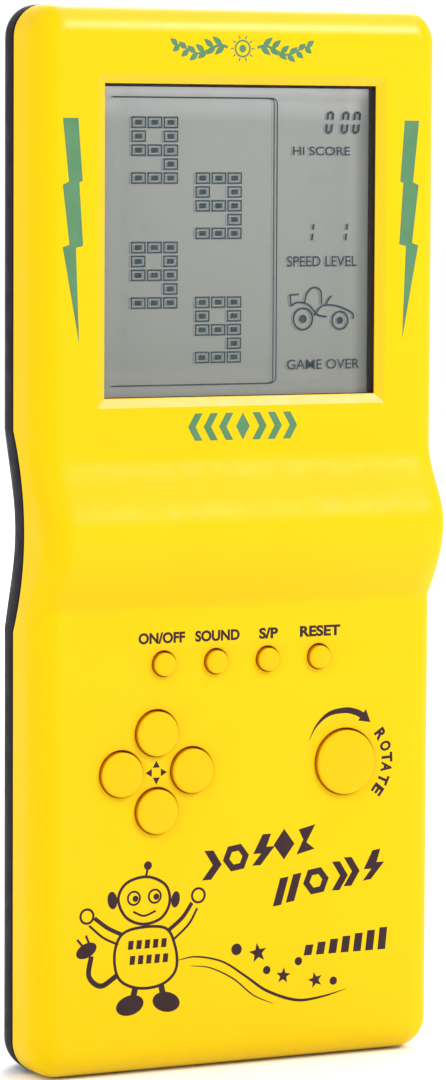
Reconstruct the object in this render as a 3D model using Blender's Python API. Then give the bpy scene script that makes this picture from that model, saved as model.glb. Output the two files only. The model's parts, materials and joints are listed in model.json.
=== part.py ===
"""Handheld LCD game: a two-part case with a display module, nine sprung buttons and a battery door.

The game stands on its flat lower end, its front faces -Y and +X is the player's right. The origin is
the centre of the bounding box's base. Depths are measured from the parting plane of the two shells,
negative towards the front, and y_at() turns a depth into a world Y.
"""

from math import cos, pi, radians, sin, sqrt

import bmesh
import bpy
from mathutils import Vector

# ---- driving dimensions, in metres ----
HEIGHT = 0.180
HALF_WIDTH = 0.038
CORNER = 0.0055  # corner radius of the outline
WALL = 0.0018
GAP = 0.0003  # clearance between pieces that touch on the real object

FACE_DEPTH = 0.010  # parting plane to front face
BACK_DEPTH = 0.014  # parting plane to flat back
FACE_ROUND = 0.005
BACK_RIM = 0.0008  # straight edge of the back shell at the parting line
BACK_SIDE_ROUND = 0.014
BACK_END_ROUND = 0.005

WAIST_LOW, WAIST_HIGH = 0.0752, 0.1090  # where the parting line arcs forward
WAIST_MID = (WAIST_LOW + WAIST_HIGH) / 2
HUMP_RISE = 0.0055  # finger roll across the waist, highest at WAIST_MID
HUMP_ABOVE, HUMP_BELOW = 0.0138, 0.0128  # its reach above and below the crest
PARTING_RISE = 0.0045
SCOOP_DEPTH = 0.004  # hollow across the back behind the roll
SCOOP_HALF = 0.016
WAIST_STEPS = 16

WINDOW_HALF = 0.0255
WINDOW_LOW, WINDOW_HIGH = 0.11455, 0.1669
WINDOW_BEVEL, WINDOW_BEVEL_DEPTH = 0.0016, 0.0007
LIP = 0.0009  # thickness of the lip round the window

PAD_X, PAD_Z, PAD_REACH = -0.016, 0.0514, 0.0066
ROTATE_X, ROTATE_Z = 0.0199, 0.0513
FUNCTION_Z = 0.0697
FUNCTION_PITCH = 0.0098
PAD_RADIUS, ROTATE_RADIUS, FUNCTION_RADIUS = 0.0038, 0.00555, 0.00198
BUTTON_CLEARANCE = 0.0002
CAP_PROUD = 0.0012
CAP_FLANGE = 0.0006
CAP_FLANGE_THICK = 0.0008
TRAVEL = 0.0008

KEY_BOARD_FRONT, KEY_BOARD_THICK = -0.0044, 0.0010
MAT_THICK = 0.0004
PILL_RADIUS = 0.0013

LCD_FRONT = -0.0063
LCD_HALF = 0.0282
LCD_MARGIN = 0.0026  # glass past the window, above and below
LCD_GLASS, LCD_THICK = 0.0010, 0.0022
DISPLAY_BOARD_FRONT, DISPLAY_BOARD_THICK = -0.0024, 0.0012

CELL_RADIUS, CELL_BODY, CELL_NUB = 0.0071, 0.049, 0.0015
CELL_X, CELL_DEPTH = 0.0074, 0.0051
TRAY_HALF, TRAY_WALL = 0.0152, 0.0010
TRAY_LOW, TRAY_HIGH = 0.0140, 0.0710
TRAY_FLOOR, TRAY_FLOOR_THICK = -0.0031, 0.0008
DOOR_HALF, DOOR_THICK = 0.0169, 0.0015
DOOR_LOW, DOOR_HIGH = 0.0123, 0.0733
TAB_X = 0.010

CASE_SCREWS = [("top", 0.027, 0.1746), ("waist", 0.028, 0.1068), ("bottom", 0.027, 0.0062)]
DISPLAY_SCREW_X, DISPLAY_SCREW_Z = 0.0318, (0.125, 0.160)
KEY_SCREWS = [(-0.026, 0.066), (0.026, 0.066), (-0.026, 0.035)]
BUZZER_Z = 0.150

PARTING_Y = (FACE_DEPTH + HUMP_RISE - BACK_DEPTH) / 2  # centres the box in Y

COLOURS = {
    # slot: colour, roughness, metallic, alpha
    "yellow_shell": ((0.99, 0.72, 0.01), 0.38, 0.0, 1.0),
    "dark_shell": ((0.035, 0.030, 0.045), 0.45, 0.0, 1.0),
    "yellow_cap": ((0.97, 0.68, 0.01), 0.35, 0.0, 1.0),
    "black_frame": ((0.02, 0.018, 0.018), 0.5, 0.0, 1.0),
    "clear_lens": ((0.95, 0.97, 0.96), 0.05, 0.0, 0.2),
    "lcd_glass": ((0.50, 0.52, 0.48), 0.2, 0.0, 1.0),
    "reflector": ((0.75, 0.76, 0.74), 0.3, 0.4, 1.0),
    "silicone": ((0.55, 0.55, 0.55), 0.6, 0.0, 1.0),
    "elastomer": ((0.25, 0.18, 0.2), 0.6, 0.0, 1.0),
    "board": ((0.05, 0.22, 0.07), 0.5, 0.0, 1.0),
    "epoxy": ((0.015, 0.015, 0.015), 0.3, 0.0, 1.0),
    "film": ((0.75, 0.6, 0.35), 0.4, 0.0, 1.0),
    "steel": ((0.6, 0.6, 0.6), 0.3, 1.0, 1.0),
    "brass": ((0.75, 0.6, 0.25), 0.3, 1.0, 1.0),
    "piezo": ((0.85, 0.84, 0.8), 0.5, 0.0, 1.0),
    "cell_wrap": ((0.1, 0.2, 0.35), 0.35, 0.0, 1.0),
    "wire_red": ((0.6, 0.03, 0.03), 0.45, 0.0, 1.0),
    "wire_black": ((0.02, 0.02, 0.02), 0.45, 0.0, 1.0),
    "capacitor_sleeve": ((0.05, 0.06, 0.1), 0.35, 0.0, 1.0),
}


def clear_scene():
    for obj in list(bpy.data.objects):
        bpy.data.objects.remove(obj, do_unlink=True)


def material(slot):
    found = bpy.data.materials.get(slot)
    if found:
        return found
    colour, roughness, metallic, alpha = COLOURS[slot]
    mat = bpy.data.materials.new(slot)
    mat.use_nodes = True
    shader = mat.node_tree.nodes["Principled BSDF"]
    shader.inputs["Base Color"].default_value = (*colour, 1.0)
    shader.inputs["Roughness"].default_value = roughness
    shader.inputs["Metallic"].default_value = metallic
    shader.inputs["Alpha"].default_value = alpha
    return mat


def y_at(depth):
    """World Y of a depth measured from the parting plane."""
    return PARTING_Y + depth


# ---- mesh helpers ----
def add_mesh(name, bm, slot, origin=(0, 0, 0), smooth=True):
    """Turn bm, given in world coordinates, into an object with its origin at origin."""
    bmesh.ops.translate(bm, verts=bm.verts, vec=-Vector(origin))
    bmesh.ops.recalc_face_normals(bm, faces=bm.faces)
    mesh = bpy.data.meshes.new(name)
    bm.to_mesh(mesh)
    bm.free()
    if smooth:
        mesh.shade_smooth()
        mesh.set_sharp_from_angle(angle=radians(35))
    obj = bpy.data.objects.new(name, mesh)
    obj.location = origin
    bpy.context.scene.collection.objects.link(obj)
    if slot:
        mesh.materials.append(material(slot))
    return obj


def as_cutter(obj):
    obj.hide_render = True
    obj.display_type = "WIRE"
    return obj


def boolean(target, tool, operation):
    modifier = target.modifiers.new(operation.lower(), "BOOLEAN")
    modifier.operation = operation
    modifier.object = as_cutter(tool)
    modifier.solver = "EXACT"


def add_box(bm, low, high):
    """One closed box between two world corners, whose Y values are depths."""
    corners = [
        bm.verts.new((x, y_at(y), z))
        for x in (low[0], high[0])
        for y in (low[1], high[1])
        for z in (low[2], high[2])
    ]
    for face in ((0, 1, 3, 2), (4, 6, 7, 5), (0, 4, 5, 1), (2, 3, 7, 6), (0, 2, 6, 4), (1, 5, 7, 3)):
        bm.faces.new([corners[i] for i in face])


def box(name, low, high, slot=None):
    bm = bmesh.new()
    add_box(bm, low, high)
    return add_mesh(name, bm, slot, smooth=False)


def add_turned(bm, x, z, profile, steps):
    """A solid turned about the line along Y through (x, z); profile is (radius, depth) points."""
    loops = []
    for radius, depth in profile:
        if radius == 0:
            loops.append([bm.verts.new((x, y_at(depth), z))])
            continue
        angles = [2 * pi * i / steps for i in range(steps)]
        loops.append([bm.verts.new((x + radius * cos(a), y_at(depth), z + radius * sin(a))) for a in angles])
    for a, b in zip(loops, loops[1:]):
        for i in range(steps):
            j = (i + 1) % steps
            corners = [a[i % len(a)], a[j % len(a)], b[j % len(b)], b[i % len(b)]]
            bm.faces.new(list(dict.fromkeys(corners)))


def turned(name, x, z, profile, steps, slot=None):
    bm = bmesh.new()
    add_turned(bm, x, z, profile, steps)
    return add_mesh(name, bm, slot, origin=(x, y_at(profile[0][1]), z))


def cylinder_profile(radius, front, back):
    return [(0, front), (radius, front), (radius, back), (0, back)]


def plate(name, outline, front, back, slot):
    """A flat plate: an (x, z) outline extruded between two depths."""
    bm = bmesh.new()
    near = [bm.verts.new((x, y_at(front), z)) for x, z in outline]
    far = [bm.verts.new((x, y_at(back), z)) for x, z in outline]
    bm.faces.new(near)
    bm.faces.new(far[::-1])
    for i in range(len(outline)):
        j = (i + 1) % len(outline)
        bm.faces.new([near[i], far[i], far[j], near[j]])
    return add_mesh(name, bm, slot, smooth=False)


def wire(name, route, radius, slot, bevel_resolution=1):
    """A closed tube along a polyline of world points."""
    curve = bpy.data.curves.new(name, "CURVE")
    curve.dimensions = "3D"
    curve.bevel_depth = radius
    curve.bevel_resolution = bevel_resolution
    curve.use_fill_caps = True
    spline = curve.splines.new("POLY")
    spline.points.add(len(route) - 1)
    for point, place in zip(spline.points, route):
        point.co = (*place, 1.0)
    curve.materials.append(material(slot))
    obj = bpy.data.objects.new(name, curve)
    bpy.context.scene.collection.objects.link(obj)
    return obj


def smooth_route(points, steps):
    """Points on a Catmull-Rom curve through points."""
    ends = [points[0] * 2 - points[1]] + points + [points[-1] * 2 - points[-2]]
    route = []
    for p0, p1, p2, p3 in zip(ends, ends[1:], ends[2:], ends[3:]):
        for i in range(steps):
            t = i / steps
            route.append(
                0.5 * (2 * p1 + (p2 - p0) * t + (2 * p0 - 5 * p1 + 4 * p2 - p3) * t * t
                       + (3 * p1 - p0 - 3 * p2 + p3) * t ** 3)
            )
    return route + [points[-1]]


# ---- the case's shape ----
def wave(z, middle, half):
    """A smooth bump of height 1, from 0 at middle - half to 0 at middle + half."""
    return 0.5 + 0.5 * cos(pi * (z - middle) / half) if abs(z - middle) < half else 0.0


def front_depth(z):
    """The face, with a roll that rises gently from above and drops to a crease below."""
    if z >= WAIST_MID:
        return FACE_DEPTH + HUMP_RISE * wave(z, WAIST_MID, HUMP_ABOVE)
    return FACE_DEPTH + HUMP_RISE * sqrt(wave(z, WAIST_MID, HUMP_BELOW))


def back_depth(z):
    return BACK_DEPTH - SCOOP_DEPTH * wave(z, WAIST_MID, SCOOP_HALF)


def parting_depth(z):
    """The parting line: straight, with an arc towards the front across the waist."""
    half = (WAIST_HIGH - WAIST_LOW) / 2
    return -PARTING_RISE * max(0.0, 1 - ((z - WAIST_MID) / half) ** 2)


def half_ring(side_inset, end_inset, radius, depth_of):
    """The right half of one rounded-rectangle ring, from its lower to its upper end."""
    half, low, high = HALF_WIDTH - side_inset, end_inset, HEIGHT - end_inset
    corner = [(sin(radians(a)), cos(radians(a))) for a in (0, 30, 60, 90)]
    lower = [(half - radius + radius * s, low + radius - radius * c) for s, c in corner]
    waist = [WAIST_LOW + (WAIST_HIGH - WAIST_LOW) * i / WAIST_STEPS for i in range(WAIST_STEPS + 1)]
    upper = [(half - radius + radius * s, high - radius + radius * c) for s, c in reversed(corner)]
    points = lower + [(half, z) for z in waist] + upper
    return [(x, y_at(depth_of(z)), z) for x, z in points]


def loft(bm, half_rings):
    """A closed body through rings that are symmetric in X, capped by strips from left to right."""
    rings = []
    for half in half_rings:
        right = [bm.verts.new(p) for p in half]
        left = [bm.verts.new((-x, y, z)) for x, y, z in half]
        rings.append((right, left))
    for (right_a, left_a), (right_b, left_b) in zip(rings, rings[1:]):
        loop_a, loop_b = right_a + left_a[::-1], right_b + left_b[::-1]
        for i in range(len(loop_a)):
            j = (i + 1) % len(loop_a)
            bm.faces.new([loop_a[i], loop_a[j], loop_b[j], loop_b[i]])
    for right, left in (rings[0], rings[-1]):
        for i in range(len(right) - 1):
            bm.faces.new([right[i], right[i + 1], left[i + 1], left[i]])


def front_rings(wall):
    """Rings of the front shell's surface, from the parting line to the face, inset by wall."""
    rings = [half_ring(wall, wall, CORNER - wall, parting_depth)]
    radius = FACE_ROUND - wall
    for angle in (0, 30, 60, 90):
        inset = wall + radius * (1 - cos(radians(angle)))
        rise = radius * (1 - sin(radians(angle)))

        def depth_of(z, rise=rise):
            return -(front_depth(z) - wall - rise)

        rings.append(half_ring(inset, inset, max(CORNER - inset, 0.0006), depth_of))
    return rings


def back_rings(wall):
    """Rings of the back shell's surface, from the parting line to the flat back, inset by wall."""
    rings = [half_ring(wall, wall, CORNER - wall, lambda z: parting_depth(z) + GAP)]
    end_round = BACK_END_ROUND - wall
    for angle in (0, 22, 42, 60, 76, 90):
        side_inset = wall + (BACK_SIDE_ROUND - wall) * (1 - cos(radians(angle)))
        part = sin(radians(angle))
        end_depth = BACK_RIM + (BACK_DEPTH - wall - BACK_RIM) * part
        past = max(0.0, end_depth - (BACK_DEPTH - wall - end_round))
        end_inset = wall + end_round - sqrt(max(0.0, end_round ** 2 - past ** 2))

        def depth_of(z, part=part):
            start = parting_depth(z) + BACK_RIM
            return start + (back_depth(z) - wall - start) * part

        rings.append(half_ring(side_inset, end_inset, CORNER - wall, depth_of))
    return rings


def shell(name, rings_of, slot):
    bm = bmesh.new()
    loft(bm, rings_of(WALL)[::-1] + rings_of(0.0))
    return add_mesh(name, bm, slot)


def sides(values):
    """Each (x, z) place on the right and its mirror image on the left."""
    return [(sign * x, z) for x, z in values for sign in (-1, 1)]


def button_places():
    """name: (x, z, radius, segments) of each button."""
    places = {
        "up": (PAD_X, PAD_Z + PAD_REACH, PAD_RADIUS, 20),
        "down": (PAD_X, PAD_Z - PAD_REACH, PAD_RADIUS, 20),
        "left": (PAD_X - PAD_REACH, PAD_Z, PAD_RADIUS, 20),
        "right": (PAD_X + PAD_REACH, PAD_Z, PAD_RADIUS, 20),
        "rotate": (ROTATE_X, ROTATE_Z, ROTATE_RADIUS, 24),
    }
    for i, name in enumerate(("on_off", "sound", "start_pause", "reset")):
        places[name] = ((i - 1.5) * FUNCTION_PITCH, FUNCTION_Z, FUNCTION_RADIUS, 16)
    return places


def case_screw_places():
    return [(f"{name}_{side}", sign * x, z)
            for name, x, z in CASE_SCREWS for side, sign in (("left", -1), ("right", 1))]


def display_screw_places():
    return sides([(DISPLAY_SCREW_X, z) for z in DISPLAY_SCREW_Z])


# ---- case ----
CASE_SCREW_SHANK, CASE_SCREW_HEAD = 0.00105, 0.0023
BOARD_SCREW_SHANK, BOARD_SCREW_HEAD = 0.0008, 0.0018
FRONT_BOSS_END = 0.0010  # depth where the case's front posts stop
WEB_END = 0.0035  # the screw heads sit just past this depth


def make_front_shell():
    obj = shell("front_shell", front_rings, "yellow_shell")
    posts = bmesh.new()
    root = -FACE_DEPTH + WALL / 2
    for _, x, z in case_screw_places():
        add_turned(posts, x, z, cylinder_profile(0.0028, root, FRONT_BOSS_END), 12)
    for x, z in display_screw_places():
        add_turned(posts, x, z, cylinder_profile(0.0019, root, DISPLAY_BOARD_FRONT - GAP), 12)
    for x, z in KEY_SCREWS:
        add_turned(posts, x, z, cylinder_profile(0.0022, root, KEY_BOARD_FRONT - GAP), 12)
    boolean(obj, add_mesh("front_posts", posts, None), "UNION")

    cuts = bmesh.new()
    for x, z, radius, steps in button_places().values():
        hole = cylinder_profile(radius + BUTTON_CLEARANCE, -FACE_DEPTH - 0.002, -FACE_DEPTH + 2 * WALL)
        add_turned(cuts, x, z, hole, steps)
    for _, x, z in case_screw_places():
        add_turned(cuts, x, z, cylinder_profile(0.00135, -0.0065, FRONT_BOSS_END + 0.001), 10)
    for x, z in display_screw_places():
        add_turned(cuts, x, z, cylinder_profile(0.0011, -0.0074, DISPLAY_BOARD_FRONT + 0.001), 8)
    for x, z in KEY_SCREWS:
        add_turned(cuts, x, z, cylinder_profile(0.0011, -0.0074, KEY_BOARD_FRONT + 0.001), 8)
    boolean(obj, add_mesh("front_holes", cuts, None), "DIFFERENCE")

    boolean(obj, window_cutter(), "DIFFERENCE")
    rebate = LIP + GAP
    seat = box("lens_seat", (-WINDOW_HALF - 0.0019, -FACE_DEPTH + LIP, WINDOW_LOW - 0.0019),
               (WINDOW_HALF + 0.0019, -FACE_DEPTH + WALL + rebate, WINDOW_HIGH + 0.0019))
    boolean(obj, seat, "DIFFERENCE")
    return obj


def window_cutter():
    """The window's opening with its bevelled mouth, as one closed loft along Y."""
    slope = WINDOW_BEVEL / WINDOW_BEVEL_DEPTH
    over = 0.0005
    levels = [(WINDOW_BEVEL + slope * over, -FACE_DEPTH - over), (0.0, -FACE_DEPTH + WINDOW_BEVEL_DEPTH),
              (0.0, -FACE_DEPTH + 2 * WALL)]
    bm = bmesh.new()
    loops = []
    for grow, depth in levels:
        x, low, high = WINDOW_HALF + grow, WINDOW_LOW - grow, WINDOW_HIGH + grow
        loops.append([bm.verts.new((u, y_at(depth), v)) for u, v in ((-x, low), (x, low), (x, high), (-x, high))])
    for a, b in zip(loops, loops[1:]):
        for i in range(4):
            bm.faces.new([a[i], a[(i + 1) % 4], b[(i + 1) % 4], b[i]])
    bm.faces.new(loops[0])
    bm.faces.new(loops[-1][::-1])
    return add_mesh("window_cut", bm, None, smooth=False)


def make_back_shell():
    obj = shell("back_shell", back_rings, "dark_shell")
    door_inner = BACK_DEPTH - DOOR_THICK
    ledge_top = door_inner - GAP

    posts = bmesh.new()
    for _, x, z in case_screw_places():
        add_turned(posts, x, z, cylinder_profile(0.0036, FRONT_BOSS_END + GAP, BACK_DEPTH), 12)
    posts = add_mesh("back_posts", posts, None)
    hull = bmesh.new()
    loft(hull, back_rings(WALL / 3))
    boolean(posts, add_mesh("back_hull", hull, None), "INTERSECT")
    boolean(obj, posts, "UNION")

    tray = bmesh.new()
    outer = TRAY_HALF + TRAY_WALL
    add_box(tray, (-outer, TRAY_FLOOR, TRAY_LOW - TRAY_WALL), (outer, ledge_top, TRAY_HIGH + TRAY_WALL))
    boolean(obj, add_mesh("tray_block", tray, None, smooth=False), "UNION")
    ledge = box("door_ledge", (-DOOR_HALF - 0.0014, ledge_top - 0.0013, DOOR_LOW - 0.0014),
                (DOOR_HALF + 0.0014, ledge_top, DOOR_HIGH + 0.0014))
    boolean(obj, ledge, "UNION")

    pocket = box("cell_pocket", (-TRAY_HALF, TRAY_FLOOR + TRAY_FLOOR_THICK, TRAY_LOW),
                 (TRAY_HALF, BACK_DEPTH + 0.002, TRAY_HIGH))
    boolean(obj, pocket, "DIFFERENCE")
    mouth = box("door_opening", (-DOOR_HALF - GAP, ledge_top, DOOR_LOW - GAP),
                (DOOR_HALF + GAP, BACK_DEPTH + 0.002, DOOR_HIGH + GAP))
    boolean(obj, mouth, "DIFFERENCE")

    slots = bmesh.new()
    for x in (-TAB_X, TAB_X):  # room for the door's hinge tabs
        add_box(slots, (x - 0.0025, ledge_top - 0.0020, DOOR_LOW - 0.0030), (x + 0.0025, ledge_top, TRAY_LOW + 0.001))
    for x in (-CELL_X, CELL_X):  # the contacts' solder tabs pass through the tray's upper wall
        add_box(slots, (x - 0.0015, 0.0015, TRAY_HIGH - 0.001), (x + 0.0015, 0.0035, TRAY_HIGH + 0.003))
    for i in (-1, 0, 1):  # sound slots over the buzzer
        z = BUZZER_Z + 0.0035 * i
        add_box(slots, (-0.005, BACK_DEPTH - 2 * WALL, z - 0.0006), (0.005, BACK_DEPTH + 0.001, z + 0.0006))
    boolean(obj, add_mesh("back_slots", slots, None, smooth=False), "DIFFERENCE")

    bores = bmesh.new()
    for _, x, z in case_screw_places():
        profile = [(0, 0.0), (0.0015, 0.0), (0.0015, WEB_END), (0.0026, WEB_END),
                   (0.0026, BACK_DEPTH + 0.002), (0, BACK_DEPTH + 0.002)]
        add_turned(bores, x, z, profile, 12)
    boolean(obj, add_mesh("screw_bores", bores, None), "DIFFERENCE")
    return obj


def make_battery_door():
    """The door's origin is on its hinge line, the outer edge of its lower end."""
    inner = BACK_DEPTH - DOOR_THICK
    bm = bmesh.new()
    add_box(bm, (-DOOR_HALF, inner, DOOR_LOW), (DOOR_HALF, BACK_DEPTH, DOOR_HIGH))
    obj = add_mesh("battery_door", bm, "dark_shell", origin=(0, y_at(BACK_DEPTH), DOOR_LOW), smooth=False)
    for side, x in (("left", -TAB_X), ("right", TAB_X)):
        tab = box(f"door_tab_{side}", (x - 0.002, inner - 0.0012, DOOR_LOW - 0.0018),
                  (x + 0.002, inner - 0.0004, DOOR_LOW + 0.0012))
        neck = box(f"door_neck_{side}", (x - 0.002, inner - 0.0012, DOOR_LOW + 0.0003),
                   (x + 0.002, inner + 0.0005, DOOR_LOW + 0.0012))
        boolean(obj, tab, "UNION")
        boolean(obj, neck, "UNION")
    grip = bmesh.new()
    for i in range(3):
        z = DOOR_HIGH - 0.006 - 0.002 * i
        add_box(grip, (-0.006, BACK_DEPTH - 0.0004, z - 0.0004), (0.006, BACK_DEPTH + 0.001, z + 0.0004))
    for x in (-0.0075, 0.0075):  # the slits beside the latch finger
        add_box(grip, (x - 0.0004, inner - 0.001, DOOR_HIGH - 0.012), (x + 0.0004, BACK_DEPTH + 0.001, DOOR_HIGH + 0.001))
    boolean(obj, add_mesh("door_cuts", grip, None, smooth=False), "DIFFERENCE")
    return obj


# ---- display ----
def make_display():
    margin = 0.0016
    lens_front = -FACE_DEPTH + LIP + GAP
    box("window_lens", (-WINDOW_HALF - margin, lens_front, WINDOW_LOW - margin),
        (WINDOW_HALF + margin, lens_front + 0.0010, WINDOW_HIGH + margin), "clear_lens")

    frame_front = lens_front + 0.0010 + GAP
    glass_low, glass_high = WINDOW_LOW - LCD_MARGIN, WINDOW_HIGH + LCD_MARGIN
    rim = 0.0012
    frame = box("display_frame", (-LCD_HALF - rim, frame_front, glass_low - rim),
                (LCD_HALF + rim, DISPLAY_BOARD_FRONT - GAP, glass_high + rim), "black_frame")
    seat = box("glass_seat", (-LCD_HALF - GAP, LCD_FRONT - GAP, glass_low - GAP),
               (LCD_HALF + GAP, DISPLAY_BOARD_FRONT + 0.001, glass_high + GAP))
    opening = box("frame_opening", (-WINDOW_HALF, frame_front - 0.001, WINDOW_LOW),
                  (WINDOW_HALF, LCD_FRONT + 0.001, WINDOW_HIGH))
    boolean(frame, seat, "DIFFERENCE")
    boolean(frame, opening, "DIFFERENCE")

    ledge = 0.003  # the front glass reaches past the rear one, and its contacts are on that ledge
    panel = box("lcd_panel", (-LCD_HALF, LCD_FRONT, glass_low), (LCD_HALF, LCD_FRONT + LCD_THICK, glass_high),
                "lcd_glass")
    step = box("glass_ledge", (-LCD_HALF - 0.001, LCD_FRONT + LCD_GLASS, glass_low - 0.001),
               (LCD_HALF + 0.001, LCD_FRONT + LCD_THICK + 0.001, glass_low + ledge))
    boolean(panel, step, "DIFFERENCE")
    back = LCD_FRONT + LCD_THICK
    box("lcd_reflector", (-LCD_HALF + 0.001, back + GAP, glass_low + ledge + 0.0005),
        (LCD_HALF - 0.001, back + GAP + 0.0002, glass_high - 0.0005), "reflector")
    box("zebra_strip", (-0.024, LCD_FRONT + LCD_GLASS + GAP, glass_low + 0.0004),
        (0.024, DISPLAY_BOARD_FRONT - GAP, glass_low + ledge - 0.0006), "elastomer")
    make_display_board(glass_low, glass_high)


def make_display_board(glass_low, glass_high):
    wide, narrow = 0.0336, 0.0290
    shoulder_low, shoulder_high = 0.118, 0.167
    low, high = glass_low - 0.001, glass_high + 0.001
    right = [(narrow, low), (narrow, shoulder_low), (wide, shoulder_low), (wide, shoulder_high),
             (narrow, shoulder_high), (narrow, high)]
    outline = right + [(-x, z) for x, z in reversed(right)]
    board = plate("display_board", outline, DISPLAY_BOARD_FRONT, DISPLAY_BOARD_FRONT + DISPLAY_BOARD_THICK, "board")
    drill(board, "display_board_holes", display_screw_places(), DISPLAY_BOARD_FRONT, DISPLAY_BOARD_THICK)
    back = DISPLAY_BOARD_FRONT + DISPLAY_BOARD_THICK + GAP
    blob = [(0, back), (0.0070, back), (0.0066, back + 0.0007), (0.0045, back + 0.0014), (0, back + 0.0017)]
    turned("chip_blob", 0.010, 0.138, blob, 16, "epoxy")
    turned("capacitor", -0.014, 0.152, cylinder_profile(0.0025, back, back + 0.006), 14, "capacitor_sleeve")


def drill(board, name, places, front, thick):
    holes = bmesh.new()
    for x, z in places:
        add_turned(holes, x, z, cylinder_profile(BOARD_SCREW_SHANK + GAP, front - 0.001, front + thick + 0.001), 8)
    boolean(board, add_mesh(name, holes, None), "DIFFERENCE")


# ---- buttons ----
def make_buttons():
    flange_front = -FACE_DEPTH + WALL + GAP
    flange_back = flange_front + CAP_FLANGE_THICK
    top = -FACE_DEPTH - CAP_PROUD
    mat_front = KEY_BOARD_FRONT - GAP - MAT_THICK
    skirt = mat_front - GAP - TRAVEL
    pill = KEY_BOARD_FRONT - GAP - TRAVEL
    for name, (x, z, radius, steps) in button_places().items():
        edge = 0.32 * radius
        crown = 0.0003
        profile = [(0, top), (0.55 * radius, top + 0.3 * crown), (radius - 0.5 * edge, top + crown + 0.1 * edge),
                   (radius, top + crown + 0.6 * edge), (radius, flange_front), (radius + CAP_FLANGE, flange_front),
                   (radius + CAP_FLANGE, flange_back), (0, flange_back)]
        cap = turned(f"{name}_button", x, z, profile, steps, "yellow_cap")
        width = min(radius * 0.8, 0.0026) + 0.0004
        rubber = [(0, flange_back + GAP), (width - 0.0004, flange_back + GAP), (width, skirt),
                  (PILL_RADIUS, skirt), (PILL_RADIUS, pill), (0, pill)]
        dome = turned(f"{name}_dome", x, z, rubber, 12, "silicone")
        dome.parent = cap
        dome.location = (0, flange_back + GAP - top, 0)


def make_mats():
    back = KEY_BOARD_FRONT - GAP
    mats = {
        "function_mat": (0.0, FUNCTION_Z, 0.0190, 0.0036, ("on_off", "sound", "start_pause", "reset")),
        "pad_mat": (PAD_X, PAD_Z, 0.0112, 0.0112, ("up", "down", "left", "right")),
        "rotate_mat": (ROTATE_X, ROTATE_Z, 0.0065, 0.0065, ("rotate",)),
    }
    places = button_places()
    for name, (x, z, half_x, half_z, keys) in mats.items():
        mat = box(name, (x - half_x, back - MAT_THICK, z - half_z), (x + half_x, back, z + half_z), "silicone")
        holes = bmesh.new()
        for key in keys:
            profile = cylinder_profile(PILL_RADIUS + 0.0006, back - MAT_THICK - 0.001, back + 0.001)
            add_turned(holes, places[key][0], places[key][1], profile, 10)
        boolean(mat, add_mesh(f"{name}_holes", holes, None), "DIFFERENCE")


def make_key_board():
    board = box("key_board", (-0.029, KEY_BOARD_FRONT, 0.029), (0.029, KEY_BOARD_FRONT + KEY_BOARD_THICK, 0.078),
                "board")
    drill(board, "key_board_holes", KEY_SCREWS, KEY_BOARD_FRONT, KEY_BOARD_THICK)


def make_ribbon_cable():
    """A flat cable between the two boards, as a thin strip that bows backwards in its middle."""
    start = Vector((0.0, DISPLAY_BOARD_FRONT + DISPLAY_BOARD_THICK + GAP + 0.00015, 0.1165))
    end = Vector((0.0, KEY_BOARD_FRONT + KEY_BOARD_THICK + GAP + 0.00015, 0.0742))
    middle = [Vector((0.0, start.y, 0.110)), Vector((0.0, 0.0012, 0.098)), Vector((0.0, end.y, 0.079))]
    path = smooth_route([start] + middle + [end], 3)
    half_thick, half_wide = 0.00015, 0.008
    bm = bmesh.new()
    rings = []
    for i, point in enumerate(path):
        along = (path[min(i + 1, len(path) - 1)] - path[max(i - 1, 0)]).normalized()
        out = Vector((0.0, along.z, -along.y)) * half_thick
        corners = [(-half_wide, out), (half_wide, out), (half_wide, -out), (-half_wide, -out)]
        rings.append([bm.verts.new((x, y_at(point.y + o.y), point.z + o.z)) for x, o in corners])
    for a, b in zip(rings, rings[1:]):
        for i in range(4):
            bm.faces.new([a[i], a[(i + 1) % 4], b[(i + 1) % 4], b[i]])
    bm.faces.new(rings[0])
    bm.faces.new(rings[-1][::-1])
    add_mesh("ribbon_cable", bm, "film", smooth=False)


# ---- power and sound ----
def make_cell(name, x, body_low, nub_up):
    """One round cell, lying along Z."""
    body_high = body_low + CELL_BODY
    ends = [(0, body_low), (CELL_RADIUS, body_low), (CELL_RADIUS, body_high), (0.0028, body_high),
            (0.0028, body_high + CELL_NUB), (0, body_high + CELL_NUB)]
    if not nub_up:
        ends = [(r, body_low + body_high - z) for r, z in ends]
    bm = bmesh.new()
    add_turned_z(bm, x, CELL_DEPTH, ends, 20)
    return add_mesh(name, bm, "cell_wrap")


def add_turned_z(bm, x, depth, profile, steps):
    """As add_turned, about a line along Z; profile is (radius, z) points."""
    loops = []
    for radius, z in profile:
        if radius == 0:
            loops.append([bm.verts.new((x, y_at(depth), z))])
            continue
        angles = [2 * pi * i / steps for i in range(steps)]
        loops.append([bm.verts.new((x + radius * cos(a), y_at(depth) + radius * sin(a), z)) for a in angles])
    for a, b in zip(loops, loops[1:]):
        for i in range(steps):
            j = (i + 1) % steps
            corners = [a[i % len(a)], a[j % len(a)], b[j % len(b)], b[i % len(b)]]
            bm.faces.new(list(dict.fromkeys(corners)))


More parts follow.
